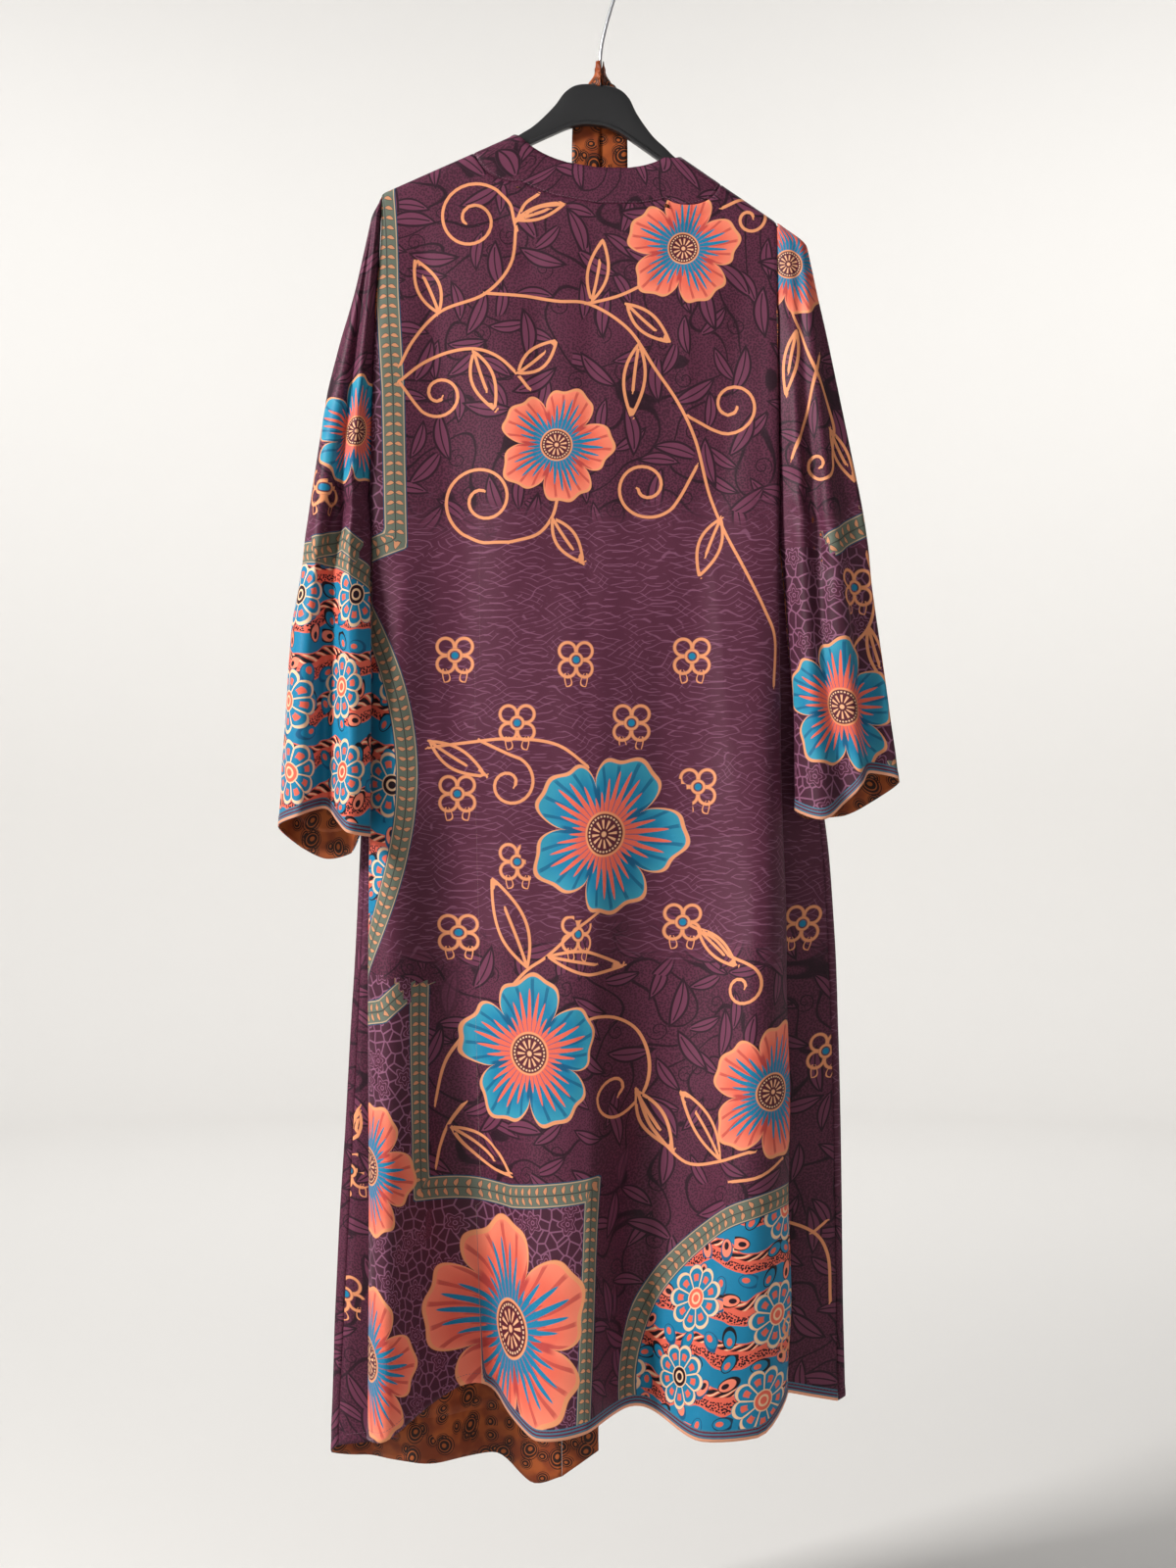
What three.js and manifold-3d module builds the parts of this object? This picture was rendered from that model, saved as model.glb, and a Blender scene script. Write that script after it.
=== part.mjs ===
// A long reversible silk robe of kimono cut, hung by its shoulders on a black plastic clothes hanger,
// with its tie belt looped round the hanger's hook. Millimetres. X runs to the right as the robe's back
// is looked at, Y runs from the robe's back through to its fronts, Z is up. The origin is the seat
// inside the top of the hook.
import * as THREE from "three";
import Module from "manifold-3d";

const wasm = await Module();
wasm.setup();

// ---------------------------------------------------------------- driving sizes
const CLOTH = 1.2; // the silk and what is turned in with it
const LINING = 1.0;
const SEAM_GAP = 0.3; // between two pieces that are sewn edge to edge
const BAND_WIDTH = 38; // of the neck band and the two front bands
const WIRE_RADIUS = 1.75;
const HOOK_RADIUS = 21; // to the wire's centre
const HANGER_HALF_WIDTH = 211;
const HANGER_WEB = 6; // thickness of the moulding, and of its foot along the lower edge
const HANGER_FOOT = 10;
const BELT_CLOTH = 1.6; // two layers of silk, pressed
const HANGER_TILT = THREE.MathUtils.degToRad(5.3); // the hanger's right end hangs lower
const HUMP_TOP = { x: -2, z: -133 };
const RIDGE_RADIUS = 8; // of the cloth's bend over the hanger's arm, outside
const RIDGE_LIFT = 2.7; // from the arm's upper edge to the outside of the cloth

// Heights that the folds are stated at.
const RIDGE = -205;
const ARMPIT = -535;
const WAIST = -640;
const MIDDLE = -935;
const HEM = -1510;
const BODY_LEVELS = [RIDGE, ARMPIT, WAIST, MIDDLE, HEM];
const LEFT_LEVELS = [-250, ARMPIT, -715, -890]; // shoulder tip, armpit, elbow, cuff
const RIGHT_LEVELS = [-272, ARMPIT, -715, -880];

// Armhole seams where they cross the shoulder.
const LEFT_ARMHOLE = -222;
const RIGHT_ARMHOLE = 180;

// ---------------------------------------------------------------- fold tables
// A row is a fold line that runs down the cloth. It has its x and y at each level, and how far the hem
// is lifted where the fold meets it.
function foldTable(levels, rows) {
  return rows.map(([name, x, y, lift]) => {
    const at = (z) => ({ x: between(levels, x, z), y: between(levels, y, z) });
    return { name, levels, x, y, lift, at };
  });
}

//  name              x: ridge armpit waist middle hem      y: ridge armpit waist middle hem  lift
const BACK_FOLDS = foldTable(BODY_LEVELS, [
  ["seam_left", [-222, -235, -237, -242, -270], [-9, -2, 6, 15, 30], -18],
  ["pleat_left", [-221.5, -234, -229, -222, -207], [-9, -5, 0, 9, 20], -8],
  ["edge_left", [-219, -231, -233, -237, -237], [-9, -9, -8, -1, -4], 0],
  ["roll_left", [-205, -214, -214, -214, -217], [-10, -14, -15, -23, -48], 6],
  ["valley_left", [-140, -142, -142, -140, -127], [-10, -10, -9, -6, 42], 42],
  ["crest_mid", [-60, -60, -59, -55, -66], [-11, -14, -16, -24, -50], 7],
  ["crest_centre", [-7, -7, -7, -8, -11], [-12, -17, -19, -32, -56], 14],
  ["valley_centre", [50, 50, 50, 50, 38], [-10, -10, -10, -8, 22], 24],
  ["crest_right", [120, 125, 130, 158, 102], [-11, -14, -16, -28, -52], 8],
  ["shoulder_right", [155, 163, 165, 177, 160], [-10, -12, -14, -22, -48], 12],
  ["edge_right", [174, 180, 183, 189, 193], [-9, -9, -8, -2, -4], 46],
  ["pleat_right", [179, 183, 181, 172, 160], [-9, -5, 2, 16, 22], 44],
  ["seam_right", [RIGHT_ARMHOLE, 184, 189, 232, 248], [-9, -2, 9, 29, 36], 26],
]);
const FRONT_LEFT_FOLDS = foldTable(BODY_LEVELS, [
  ["side_roll", [-219, -232, -236, -249, -279], [9.5, 9, 14, 27, 41], -28],
  ["crest_side", [-205, -212, -214, -226, -247], [11, 18, 22, 44, 66], -38],
  ["valley_side", [-175, -168, -168, -168, -178], [10, 12, 14, 26, 26], -36],
  ["crest_front", [-150, -118, -117, -112, -112], [11, 19, 23, 45, 64], -35],
  ["corner", [-140, -85, -83, -70, -68], [10, 16, 20, 38, 44], -62],
  ["band_seam", [-132, -60, -57, -41, -39], [10, 14, 17, 31, 36], -52],
]);
const FRONT_RIGHT_FOLDS = foldTable(BODY_LEVELS, [
  ["side_roll", [178, 182, 187, 240, 257], [9.5, 9, 17, 41, 46], 30],
  ["crest_side", [168, 166, 172, 216, 230], [11, 18, 26, 57, 72], 30],
  ["valley_side", [155, 145, 149, 168, 172], [10, 12, 16, 35, 34], 32],
  ["crest_front", [142, 118, 117, 112, 116], [11, 19, 24, 48, 62], 30],
  ["band_seam", [127, 84, 81, 63, 67], [10, 14, 17, 31, 40], 30],
]);
// The bands carry the fronts on to the robe's open edges.
const BAND_LEFT_FOLDS = foldTable(BODY_LEVELS, [
  ["seam", [-132, -60, -57, -41, -39], [10, 14, 17, 31, 36], -52],
  ["middle", [-113, -41, -38, -22, -20], [10.5, 15, 17, 30, 33], -38],
  ["edge", [-94, -22, -19, -3, -1], [9, 13, 15, 26, 28], -23],
]);
const BAND_RIGHT_FOLDS = foldTable(BODY_LEVELS, [
  ["seam", [127, 84, 81, 63, 67], [10, 14, 17, 31, 40], 30],
  ["middle", [108, 65, 62, 44, 48], [10.5, 15, 17, 30, 37], 30],
  ["edge", [89, 46, 43, 25, 29], [9, 13, 15, 26, 32], 30],
]);
//  name               x: tip armpit elbow cuff          y: tip armpit elbow cuff     lift
const SLEEVE_LEFT_FOLDS = foldTable(LEFT_LEVELS, [
  ["under_back", [-222.5, -235.5, -239, -241], [-9, -1.6, -21, -20], 4],
  ["inner_edge", [-223, -238, -230, -231], [-9.5, -10, -31, -33], -8],
  ["crest_inner", [-225, -250, -251, -251], [-11, -26, -50, -54], -4],
  ["crease", [-227, -266, -277, -281], [-10, -9, -12, -6], 20],
  ["crest_outer", [-228, -277, -296, -303], [-8, -21, -34, -38], 13],
  ["outer_edge", [-229, -290, -314, -327], [0, -2, -5, -5], 2],
  ["far_outer", [-228, -276, -300, -308], [8, 16, 17, 22], -20],
  ["far_middle", [-226, -258, -272, -279], [11, 14, 11, 16], -32],
  ["far_inner", [-224, -243, -250, -254], [11, 8, -4, -2], -26],
  ["under_front", [-222.5, -235.5, -239.5, -241.5], [9, 1.6, -20.3, -19.3], -4],
]);
const SLEEVE_RIGHT_FOLDS = foldTable(RIGHT_LEVELS, [
  ["under_back", [180.5, 184.5, 197, 199], [-9, -1.6, 3, 3], 10],
  ["inner_edge", [186, 190, 197, 200], [-9.5, -8, -6, -8], 7],
  ["crest_inner", [192, 203, 212, 224], [-10.5, -16, -22, -30], -1],
  ["valley", [197, 216, 228, 250], [-10.5, -9, -13, -18], 15],
  ["crest_outer", [202, 230, 250, 268], [-10, -18, -26, -26], 33],
  ["crease", [205, 243, 265, 278], [-8, -8, -8, -6], 46],
  ["outer_edge", [206, 262, 289, 311], [0, -3, -4, -4], 39],
  ["far_outer", [203, 245, 268, 285], [9, 10, 11, 13], 19],
  ["far_middle", [195, 225, 240, 250], [11, 11, 12, 13], 2],
  ["far_inner", [187, 200, 209, 213], [11, 7, 10, 11], -1],
  ["under_front", [180.5, 184.5, 196.6, 198.6], [9, 1.6, 3.6, 3.6], 8],
]);

// ---------------------------------------------------------------- curves
const clamp = THREE.MathUtils.clamp;
const lerp = THREE.MathUtils.lerp;
const smoothstep = (x, low, high) => THREE.MathUtils.smoothstep(x, low, high);

// A smooth curve through (levels[k], values[k]), held level beyond its ends. The levels go down.
function between(levels, values, at) {
  const last = levels.length - 1;
  if (at >= levels[0]) return values[0];
  if (at <= levels[last]) return values[last];
  const k = levels.findIndex((level, i) => i < last && at <= level && at > levels[i + 1]);
  const slope = (i) => {
    const a = Math.max(i - 1, 0);
    const b = Math.min(i + 1, last);
    return (values[b] - values[a]) / (levels[b] - levels[a]);
  };
  const span = levels[k + 1] - levels[k];
  const u = (at - levels[k]) / span;
  return (
    (2 * u ** 3 - 3 * u ** 2 + 1) * values[k] +
    (u ** 3 - 2 * u ** 2 + u) * span * slope(k) +
    (3 * u ** 2 - 2 * u ** 3) * values[k + 1] +
    (u ** 3 - u ** 2) * span * slope(k + 1)
  );
}

// The place across the folds, s = 0 on the first fold line and 1 on the last, at height z.
function acrossFolds(folds, s, z) {
  const points = folds.map((fold) => {
    const { x, y } = fold.at(z);
    return new THREE.Vector3(x, y, 0);
  });
  return new THREE.CatmullRomCurve3(points, false, "centripetal").getPoint(s);
}

function liftAt(folds, s) {
  const points = folds.map((f) => new THREE.Vector3(f.lift, 0, 0));
  return new THREE.CatmullRomCurve3(points, false, "centripetal").getPoint(s).x;
}

// ---------------------------------------------------------------- the hanger's frame and the shoulder line
// From the hanger's own frame, its hump's top at (0, 0), to the part's.
function onHanger(x, z) {
  const c = Math.cos(HANGER_TILT);
  const s = Math.sin(HANGER_TILT);
  return new THREE.Vector2(HUMP_TOP.x + x * c + z * s, HUMP_TOP.z - x * s + z * c);
}

const ARM_START = { x: 86, z: -64 };
const ARM_TIP = { x: HANGER_HALF_WIDTH, z: -134 };
const ARM_ROOT = { x: 74, z: -55 };
const SHOULDER_LINE = [
  ...[ARM_TIP, ARM_START, ARM_ROOT].map(({ x, z }) => onHanger(-x, z)),
  ...[ARM_ROOT, ARM_START, ARM_TIP].map(({ x, z }) => onHanger(x, z)),
];

// The top of the cloth over the hanger's arms, and the line between them over the open neck.
function shoulderTop(x) {
  const inner = SHOULDER_LINE.slice(1, -1);
  const k = inner.filter((knot) => knot.x < x).length;
  const [a, b] = [SHOULDER_LINE[k], SHOULDER_LINE[k + 1]];
  return lerp(a.y, b.y, (x - a.x) / (b.x - a.x)) + RIDGE_LIFT;
}

// How far the cloth stands out from the shoulder line, drop below it.
function bendOut(drop) {
  if (drop >= RIDGE_RADIUS) return RIDGE_RADIUS;
  return Math.sqrt(Math.max(0, 2 * RIDGE_RADIUS * drop - drop * drop));
}

// How far below the shoulder line a point lies that is along mm over the bend.
function dropAlong(along) {
  const quarter = (RIDGE_RADIUS * Math.PI) / 2;
  const size = Math.abs(along);
  if (size >= quarter) return RIDGE_RADIUS + size - quarter;
  return RIDGE_RADIUS * (1 - Math.cos(size / RIDGE_RADIUS));
}

// ---------------------------------------------------------------- the body's sheets
const FULL_FOLDS_BELOW = 170; // the cloth leaves the hanger's flat shape over this drop

// A body sheet's point: side is -1 for the back and 1 for the fronts. Close under the shoulder line it keeps
// its place across, so that the pieces meet in the shoulder seam.
function bodyPoint(folds, side, s, z) {
  const ridge = acrossFolds(folds, s, RIDGE);
  const level = lerp(RIDGE, z, smoothstep(shoulderTop(ridge.x) - z, 14, 120));
  const place = acrossFolds(folds, s, level);
  const drop = shoulderTop(place.x) - z;
  const near = side * bendOut(drop);
  const y = lerp(near, place.y, smoothstep(drop, RIDGE_RADIUS, FULL_FOLDS_BELOW));
  return new THREE.Vector3(place.x, y, z);
}

// A point along mm over the shoulder from its top, towards the sheet's own side.
function shoulderPoint(folds, side, s, along) {
  const place = acrossFolds(folds, s, RIDGE);
  const drop = dropAlong(along);
  if (along > 0) return bodyPoint(folds, side, s, shoulderTop(place.x) - drop);
  return new THREE.Vector3(place.x, -side * bendOut(drop), shoulderTop(place.x) - drop);
}

const OVER_SHOULDER = 16; // how far the back runs over the shoulder to its seam with the fronts
const NECK_CENTRE = -2.5;
const NECK_HALF_WIDTH = 129.5; // out to the neck band's sewn edge
const NECK_DROP = 74; // of the sewn edge at the centre back, along the cloth
const YOKE = 84; // the last row that is measured from the shoulder

// The sewn edge of the neck, from the left shoulder's front over the back to the right one's: how far it
// has come down the back, and how far out it then is.
const NECK_REACH = [0, 0.05, 0.1, 0.15, 0.2, 0.25, 0.3, 0.38, 0.5, 0.64, 0.8, 0.92, 1];
const neckOut = (reach) => 0.93 * (1 - reach ** 2.4) ** 0.45 + 0.07 * (1 - reach);
const NECK_COLUMNS = [
  ...NECK_REACH.map((reach) => ({ reach, side: -1 })),
  ...NECK_REACH.slice(0, -1).toReversed().map((reach) => ({ reach, side: 1 })),
];

// ---------------------------------------------------------------- walls
// A grid of points, rows[i][j], moved along its own normals.
function moved(rows, distance) {
  const [n, m] = [rows.length, rows[0].length];
  return rows.map((row, i) =>
    row.map((p, j) => {
      const across = row[Math.min(j + 1, m - 1)].clone().sub(row[Math.max(j - 1, 0)]);
      const down = rows[Math.min(i + 1, n - 1)][j].clone().sub(rows[Math.max(i - 1, 0)][j]);
      return p.clone().add(across.cross(down).normalize().multiplyScalar(distance));
    }),
  );
}

// A closed wall from a grid of outside points. inward says which way its thickness goes, 1 or -1.
function wall(rows, thickness, inward) {
  const [n, m] = [rows.length, rows[0].length];
  const inner = moved(rows, inward * thickness);
  const points = [...rows.flat(), ...inner.flat()];
  const at = (layer, i, j) => layer * n * m + i * m + j;
  const faces = [];
  const quad = (a, b, c, d) => faces.push([a, b, c], [a, c, d]);
  for (let i = 0; i < n - 1; i++) {
    for (let j = 0; j < m - 1; j++) {
      quad(at(0, i, j), at(0, i, j + 1), at(0, i + 1, j + 1), at(0, i + 1, j));
      quad(at(1, i, j), at(1, i + 1, j), at(1, i + 1, j + 1), at(1, i, j + 1));
    }
  }
  for (let j = 0; j < m - 1; j++) {
    quad(at(0, 0, j + 1), at(0, 0, j), at(1, 0, j), at(1, 0, j + 1));
    quad(at(0, n - 1, j), at(0, n - 1, j + 1), at(1, n - 1, j + 1), at(1, n - 1, j));
  }
  for (let i = 0; i < n - 1; i++) {
    quad(at(0, i, 0), at(0, i + 1, 0), at(1, i + 1, 0), at(1, i, 0));
    quad(at(0, i + 1, m - 1), at(0, i, m - 1), at(1, i, m - 1), at(1, i + 1, m - 1));
  }
  if (inward > 0) faces.forEach((f) => f.reverse());
  const geometry = new THREE.BufferGeometry();
  const flat = points.flatMap((p) => [p.x, p.y, p.z]);
  geometry.setAttribute("position", new THREE.BufferAttribute(new Float32Array(flat), 3));
  geometry.setIndex(faces.flat());
  return geometry.toNonIndexed();
}

const evenly = (count) => Array.from({ length: count + 1 }, (_, i) => i / count);

// Trims the span 0 to 1 by half a seam gap, where the sheet is about length mm wide.
function trimmed(s, length) {
  const cut = SEAM_GAP / 2 / length;
  return lerp(cut, 1 - cut, s);
}

// ---------------------------------------------------------------- the pieces' grids
// Shares of the way from the upper edge to the yoke line.
const YOKE_ROWS = [0, 0.035, 0.08, 0.12, 0.16, 0.2, 0.24, 0.285, 1];
const CHEST_ROWS = [0.33, 0.66, 1]; // from the yoke line to the armpit
const SKIRT_ROWS = [0.12, 0.25, 0.38, 0.5, 0.62, 0.74, 0.87, 1]; // from the armpit to the hem

// Where on the back's ridge section the place x lies, as a share of the way across.
function shareAt(folds, x) {
  let [low, high] = [0, 1];
  for (let i = 0; i < 40; i++) {
    const mid = (low + high) / 2;
    if (acrossFolds(folds, mid, RIDGE).x < x) low = mid;
    else high = mid;
  }
  return (low + high) / 2;
}

// The back's columns. Their upper ends inside the neck are shared with the neck band, and by the yoke line
// they are evenly spread.
const beside = (from, to, count) => evenly(count).map((f) => lerp(from, to, f));
const neckX = ({ reach, side }) => NECK_CENTRE + side * NECK_HALF_WIDTH * neckOut(reach);
const BACK_COLUMNS = [
  ...beside(0.0004, shareAt(BACK_FOLDS, neckX(NECK_COLUMNS[0])), 6)
    .slice(0, -1)
    .map((share) => ({ share, top: -OVER_SHOULDER })),
  ...NECK_COLUMNS.map((column) => ({
    share: shareAt(BACK_FOLDS, neckX(column)),
    top: lerp(-OVER_SHOULDER, NECK_DROP, column.reach),
  })),
  ...beside(shareAt(BACK_FOLDS, neckX(NECK_COLUMNS.at(-1))), 0.9996, 5)
    .slice(1)
    .map((share) => ({ share, top: -OVER_SHOULDER })),
];

function backGrid() {
  const last = BACK_COLUMNS.length - 1;
  const even = BACK_COLUMNS.map((_, j) => lerp(0.0004, 0.9996, j / last));
  const yoke = YOKE_ROWS.map((f) =>
    BACK_COLUMNS.map(({ share, top }, j) => {
      const s = lerp(share, even[j], f ** 2);
      return shoulderPoint(BACK_FOLDS, -1, s, lerp(top, YOKE, f));
    }),
  );
  const yokeZ = yoke.at(-1).map((p) => p.z);
  const chest = CHEST_ROWS.map((f) =>
    even.map((s, j) => bodyPoint(BACK_FOLDS, -1, s, lerp(yokeZ[j], ARMPIT, f))),
  );
  const skirt = SKIRT_ROWS.map((f) =>
    even.map((s) => bodyPoint(BACK_FOLDS, -1, s, lerp(ARMPIT, HEM + liftAt(BACK_FOLDS, s), f))),
  );
  return [...yoke, ...chest, ...skirt];
}

// A front or a band: from the shoulder seam down to the hem.
function frontGrid(folds, columns, width, skirtRows = SKIRT_ROWS) {
  const across = evenly(columns).map((s) => trimmed(s, width));
  const start = OVER_SHOULDER + SEAM_GAP / 2;
  const yoke = [0, 0.4, 1].map((f) =>
    across.map((s) => shoulderPoint(folds, 1, s, lerp(start, YOKE, f))),
  );
  const yokeZ = yoke.at(-1).map((p) => p.z);
  const chest = CHEST_ROWS.map((f) =>
    across.map((s, j) => bodyPoint(folds, 1, s, lerp(yokeZ[j], ARMPIT, f))),
  );
  const skirt = skirtRows.map((f) =>
    across.map((s) => bodyPoint(folds, 1, s, lerp(ARMPIT, HEM + liftAt(folds, s), f))),
  );
  return [...yoke, ...chest, ...skirt];
}

// The fronts start on the back's side seam, a seam gap further on.
function withSideSeam(folds, back, side) {
  const seam = {
    ...back,
    at(z) {
      const { x, y } = back.at(z);
      const low = smoothstep(-z, -ARMPIT - 5, -ARMPIT + 60);
      return { x: x + side * low * 0.5, y: lerp(-y, y + 2.9, low) };
    },
  };
  return [seam, ...folds];
}

const FRONT_LEFT = withSideSeam(FRONT_LEFT_FOLDS, BACK_FOLDS[0], -1);
const FRONT_RIGHT = withSideSeam(FRONT_RIGHT_FOLDS, BACK_FOLDS.at(-1), 1);

// The neck band's back stretch, from the back's neck edge in to the free edge.
function neckBandGrid(rows) {
  return evenly(rows).map((f) =>
    NECK_COLUMNS.map(({ reach, side }) => {
      const inset = lerp(SEAM_GAP * 1.5 + 0.5 * (1 - reach), BAND_WIDTH, f);
      const x = NECK_CENTRE + side * (NECK_HALF_WIDTH - inset) * neckOut(reach);
      const along = lerp(-OVER_SHOULDER, NECK_DROP - inset, reach);
      const drop = dropAlong(along);
      const lean = 3 * f * smoothstep(reach, 0.55, 1); // the free edge leans in to the neck
      return new THREE.Vector3(x, lean - Math.sign(along) * bendOut(drop), shoulderTop(x) - drop);
    }),
  );
}

// A sleeve is one cut, sewn under the arm: it goes round from the armhole's back to its front. Down to the
// armpit its two long edges follow the body's seams.
function sewnToBody(folds, back, front, side) {
  const follow = (own, body, y) => ({
    ...own,
    at(z) {
      const seam = body.at(z);
      const low = smoothstep(-z, -ARMPIT - 8, -ARMPIT + 22);
      const free = own.at(z);
      return { x: lerp(seam.x + side * 0.7, free.x, low), y: lerp(seam.y + y, free.y, low) };
    },
  });
  return [
    follow(folds[0], back, -0.6),
    ...folds.slice(1, -1),
    follow(folds.at(-1), front, 0.6),
  ];
}

function sleeveGrid(folds, { armhole, side, across, down }) {
  const levels = folds[1].levels;
  const cuff = levels.at(-1);
  const top = shoulderTop(armhole);
  return down.map((f) =>
    across.map((s) => {
      const start = top - RIDGE_RADIUS * (1 - Math.sin(Math.PI * s));
      const z = lerp(start, cuff + liftAt(folds, s), f);
      const place = acrossFolds(folds, s, z);
      const cap = 1 - smoothstep(top - z, 0, top - levels[0]);
      const x = lerp(place.x, armhole + side * 1.9, cap);
      const round = -RIDGE_RADIUS * Math.cos(Math.PI * s);
      const bend = bendOut(Math.max(0, top - z)) / RIDGE_RADIUS;
      const y = lerp(place.y * bend, round, cap);
      return new THREE.Vector3(x, y, z);
    }),
  );
}
const SLEEVE_ROWS = [0, 0.012, 0.03, 0.06, 0.13, 0.25, 0.4, 0.52, 0.64, 0.76, 0.88, 1];

// ---------------------------------------------------------------- making the meshes
const group = new THREE.Group();

function addMesh(name, geometry, { color, roughness, metalness = 0 }) {
  const material = new THREE.MeshStandardMaterial({ color, roughness, metalness });
  const mesh = new THREE.Mesh(geometry, material);
  mesh.name = name;
  group.add(mesh);
  return mesh;
}

const PLUM_SILK = { color: 0x5a3350, roughness: 0.55 };
const RUST_SILK = { color: 0x8a4520, roughness: 0.55 };
const PLASTIC = { color: 0x1c1c1e, roughness: 0.4 };
const STEEL = { color: 0xb9bbbd, roughness: 0.3, metalness: 1 };

// -- the silk's outside pieces
addMesh("back", wall(backGrid(), CLOTH, 1), PLUM_SILK);
addMesh("neck_band", wall(neckBandGrid(2), CLOTH, -1), PLUM_SILK);
const frontLeft = frontGrid(FRONT_LEFT, 13, 300);
const frontRight = frontGrid(FRONT_RIGHT, 12, 280);
addMesh("front_left", wall(frontLeft, CLOTH, -1), PLUM_SILK);
addMesh("front_right", wall(frontRight, CLOTH, 1), PLUM_SILK);
addMesh("band_left", wall(frontGrid(BAND_LEFT_FOLDS, 2, BAND_WIDTH), CLOTH, -1), PLUM_SILK);
addMesh("band_right", wall(frontGrid(BAND_RIGHT_FOLDS, 2, BAND_WIDTH), CLOTH, 1), PLUM_SILK);

const sleeves = [
  {
    name: "left",
    folds: sewnToBody(SLEEVE_LEFT_FOLDS, BACK_FOLDS[0], FRONT_LEFT[0], -1),
    armhole: LEFT_ARMHOLE,
    side: -1,
  },
  {
    name: "right",
    folds: sewnToBody(SLEEVE_RIGHT_FOLDS, BACK_FOLDS.at(-1), FRONT_RIGHT[0], 1),
    armhole: RIGHT_ARMHOLE,
    side: 1,
  },
];
for (const sleeve of sleeves) {
  sleeve.grid = sleeveGrid(sleeve.folds, { ...sleeve, across: evenly(23), down: SLEEVE_ROWS });
  addMesh(`sleeve_${sleeve.name}`, wall(sleeve.grid, CLOTH, sleeve.side), PLUM_SILK);
}

// -- the inside cloth: made from the outside pieces' own points, short of every edge
function liningOf(grid, side, firstRow) {
  const inside = moved(grid, side * (CLOTH + SEAM_GAP)).map((row) => row.slice(1, -1));
  const [above, last] = inside.slice(-2);
  const turned = last.map((p, j) => p.clone().lerp(above[j], 0.04)); // turned in at the hem
  return wall([...inside.slice(firstRow, -1), turned], LINING, side);
}
addMesh("lining_front_left", liningOf(frontLeft, -1, 2), RUST_SILK);
addMesh("lining_front_right", liningOf(frontRight, 1, 2), RUST_SILK);
for (const { name, grid, side } of sleeves) {
  addMesh(`lining_sleeve_${name}`, liningOf(grid, side, 5), RUST_SILK);
}

// ---------------------------------------------------------------- hook, hanger and belt
const STEM_Z = -110; // the stem is straight below this
const BORE_DEPTH = 22;

// A round wire along a smooth path, with flat ends.
function wire(points, radius, steps, sides) {
  const curve = new THREE.CatmullRomCurve3(points, false, "centripetal");
  const { normals, binormals } = curve.computeFrenetFrames(steps);
  const position = [];
  const index = [];
  for (let i = 0; i <= steps; i++) {
    const centre = curve.getPointAt(i / steps);
    for (let k = 0; k < sides; k++) {
      const turn = (2 * Math.PI * k) / sides;
      const p = centre.clone().addScaledVector(normals[i], radius * Math.cos(turn));
      position.push(...p.addScaledVector(binormals[i], radius * Math.sin(turn)));
      const [a, b] = [i * sides + k, i * sides + ((k + 1) % sides)];
      if (i < steps) index.push(a, b, b + sides, a, b + sides, a + sides);
    }
  }
  const end = steps * sides;
  for (let k = 1; k < sides - 1; k++) {
    index.push(0, k + 1, k, end, end + k, end + k + 1);
  }
  const geometry = new THREE.BufferGeometry();
  geometry.setAttribute("position", new THREE.BufferAttribute(new Float32Array(position), 3));
  geometry.setIndex(index);
  return geometry;
}

const hookArc = Array.from({ length: 9 }, (_, i) => {
  const turn = THREE.MathUtils.degToRad(lerp(-18, 192, i / 8));
  const z = WIRE_RADIUS - HOOK_RADIUS + HOOK_RADIUS * Math.sin(turn);
  return new THREE.Vector3(HOOK_RADIUS * Math.cos(turn), 0, z);
});
const hookPath = [
  new THREE.Vector3(0, 0, HUMP_TOP.z - BORE_DEPTH + 1),
  new THREE.Vector3(0, 0, STEM_Z - 12),
  new THREE.Vector3(0.3, 0, STEM_Z),
  new THREE.Vector3(2, 0, -92),
  new THREE.Vector3(7, 0, -70),
  new THREE.Vector3(14, 0, -46),
  ...hookArc,
];
addMesh("hanger_hook", wire(hookPath, WIRE_RADIUS, 44, 10), STEEL);

// The moulding's outline in the hanger's own frame, right half, from the hump's top to the tip and back.
const UPPER_EDGE = [
  [0, 1], [14, 0.4], [24, -2.5], [33, -10], [42, -24.5], [61, -46.5], [74, -56.5], [86, -66],
];
const LOWER_EDGE = [[74, -73], [42, -54.5], [25, -45.5], [10, -41], [0, -40.5]];
const TIP = [[204, -130.1], [210, -135.5], [210.5, -142], [206, -147], [199, -146.5]];
const rightHalf = [...UPPER_EDGE, ...TIP, ...LOWER_EDGE];
const outline = [...rightHalf, ...rightHalf.slice(1, -1).toReversed().map(([x, z]) => [-x, z])];

function toGeometry(manifold) {
  const { vertProperties, triVerts } = manifold.getMesh();
  const geometry = new THREE.BufferGeometry();
  geometry.setAttribute("position", new THREE.BufferAttribute(new Float32Array(vertProperties), 3));
  geometry.setIndex([...triVerts]);
  return geometry;
}

// A plate cut to an outline of the hanger's own frame, standing in the part's.
function plate(points, depth, bevel) {
  const shape = new wasm.CrossSection([points.map(([x, z]) => [x, z])], "NonZero");
  const core = shape.offset(-bevel, "Miter");
  const slab = (section, thickness) =>
    section.extrude(thickness).translate([0, 0, -thickness / 2]);
  const flat = wasm.Manifold.union(slab(shape, depth - 2 * bevel), slab(core, depth));
  const standing = flat.rotate([90, 0, 0]).rotate([0, THREE.MathUtils.radToDeg(HANGER_TILT), 0]);
  return standing.translate([HUMP_TOP.x, 0, HUMP_TOP.z]);
}

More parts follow.
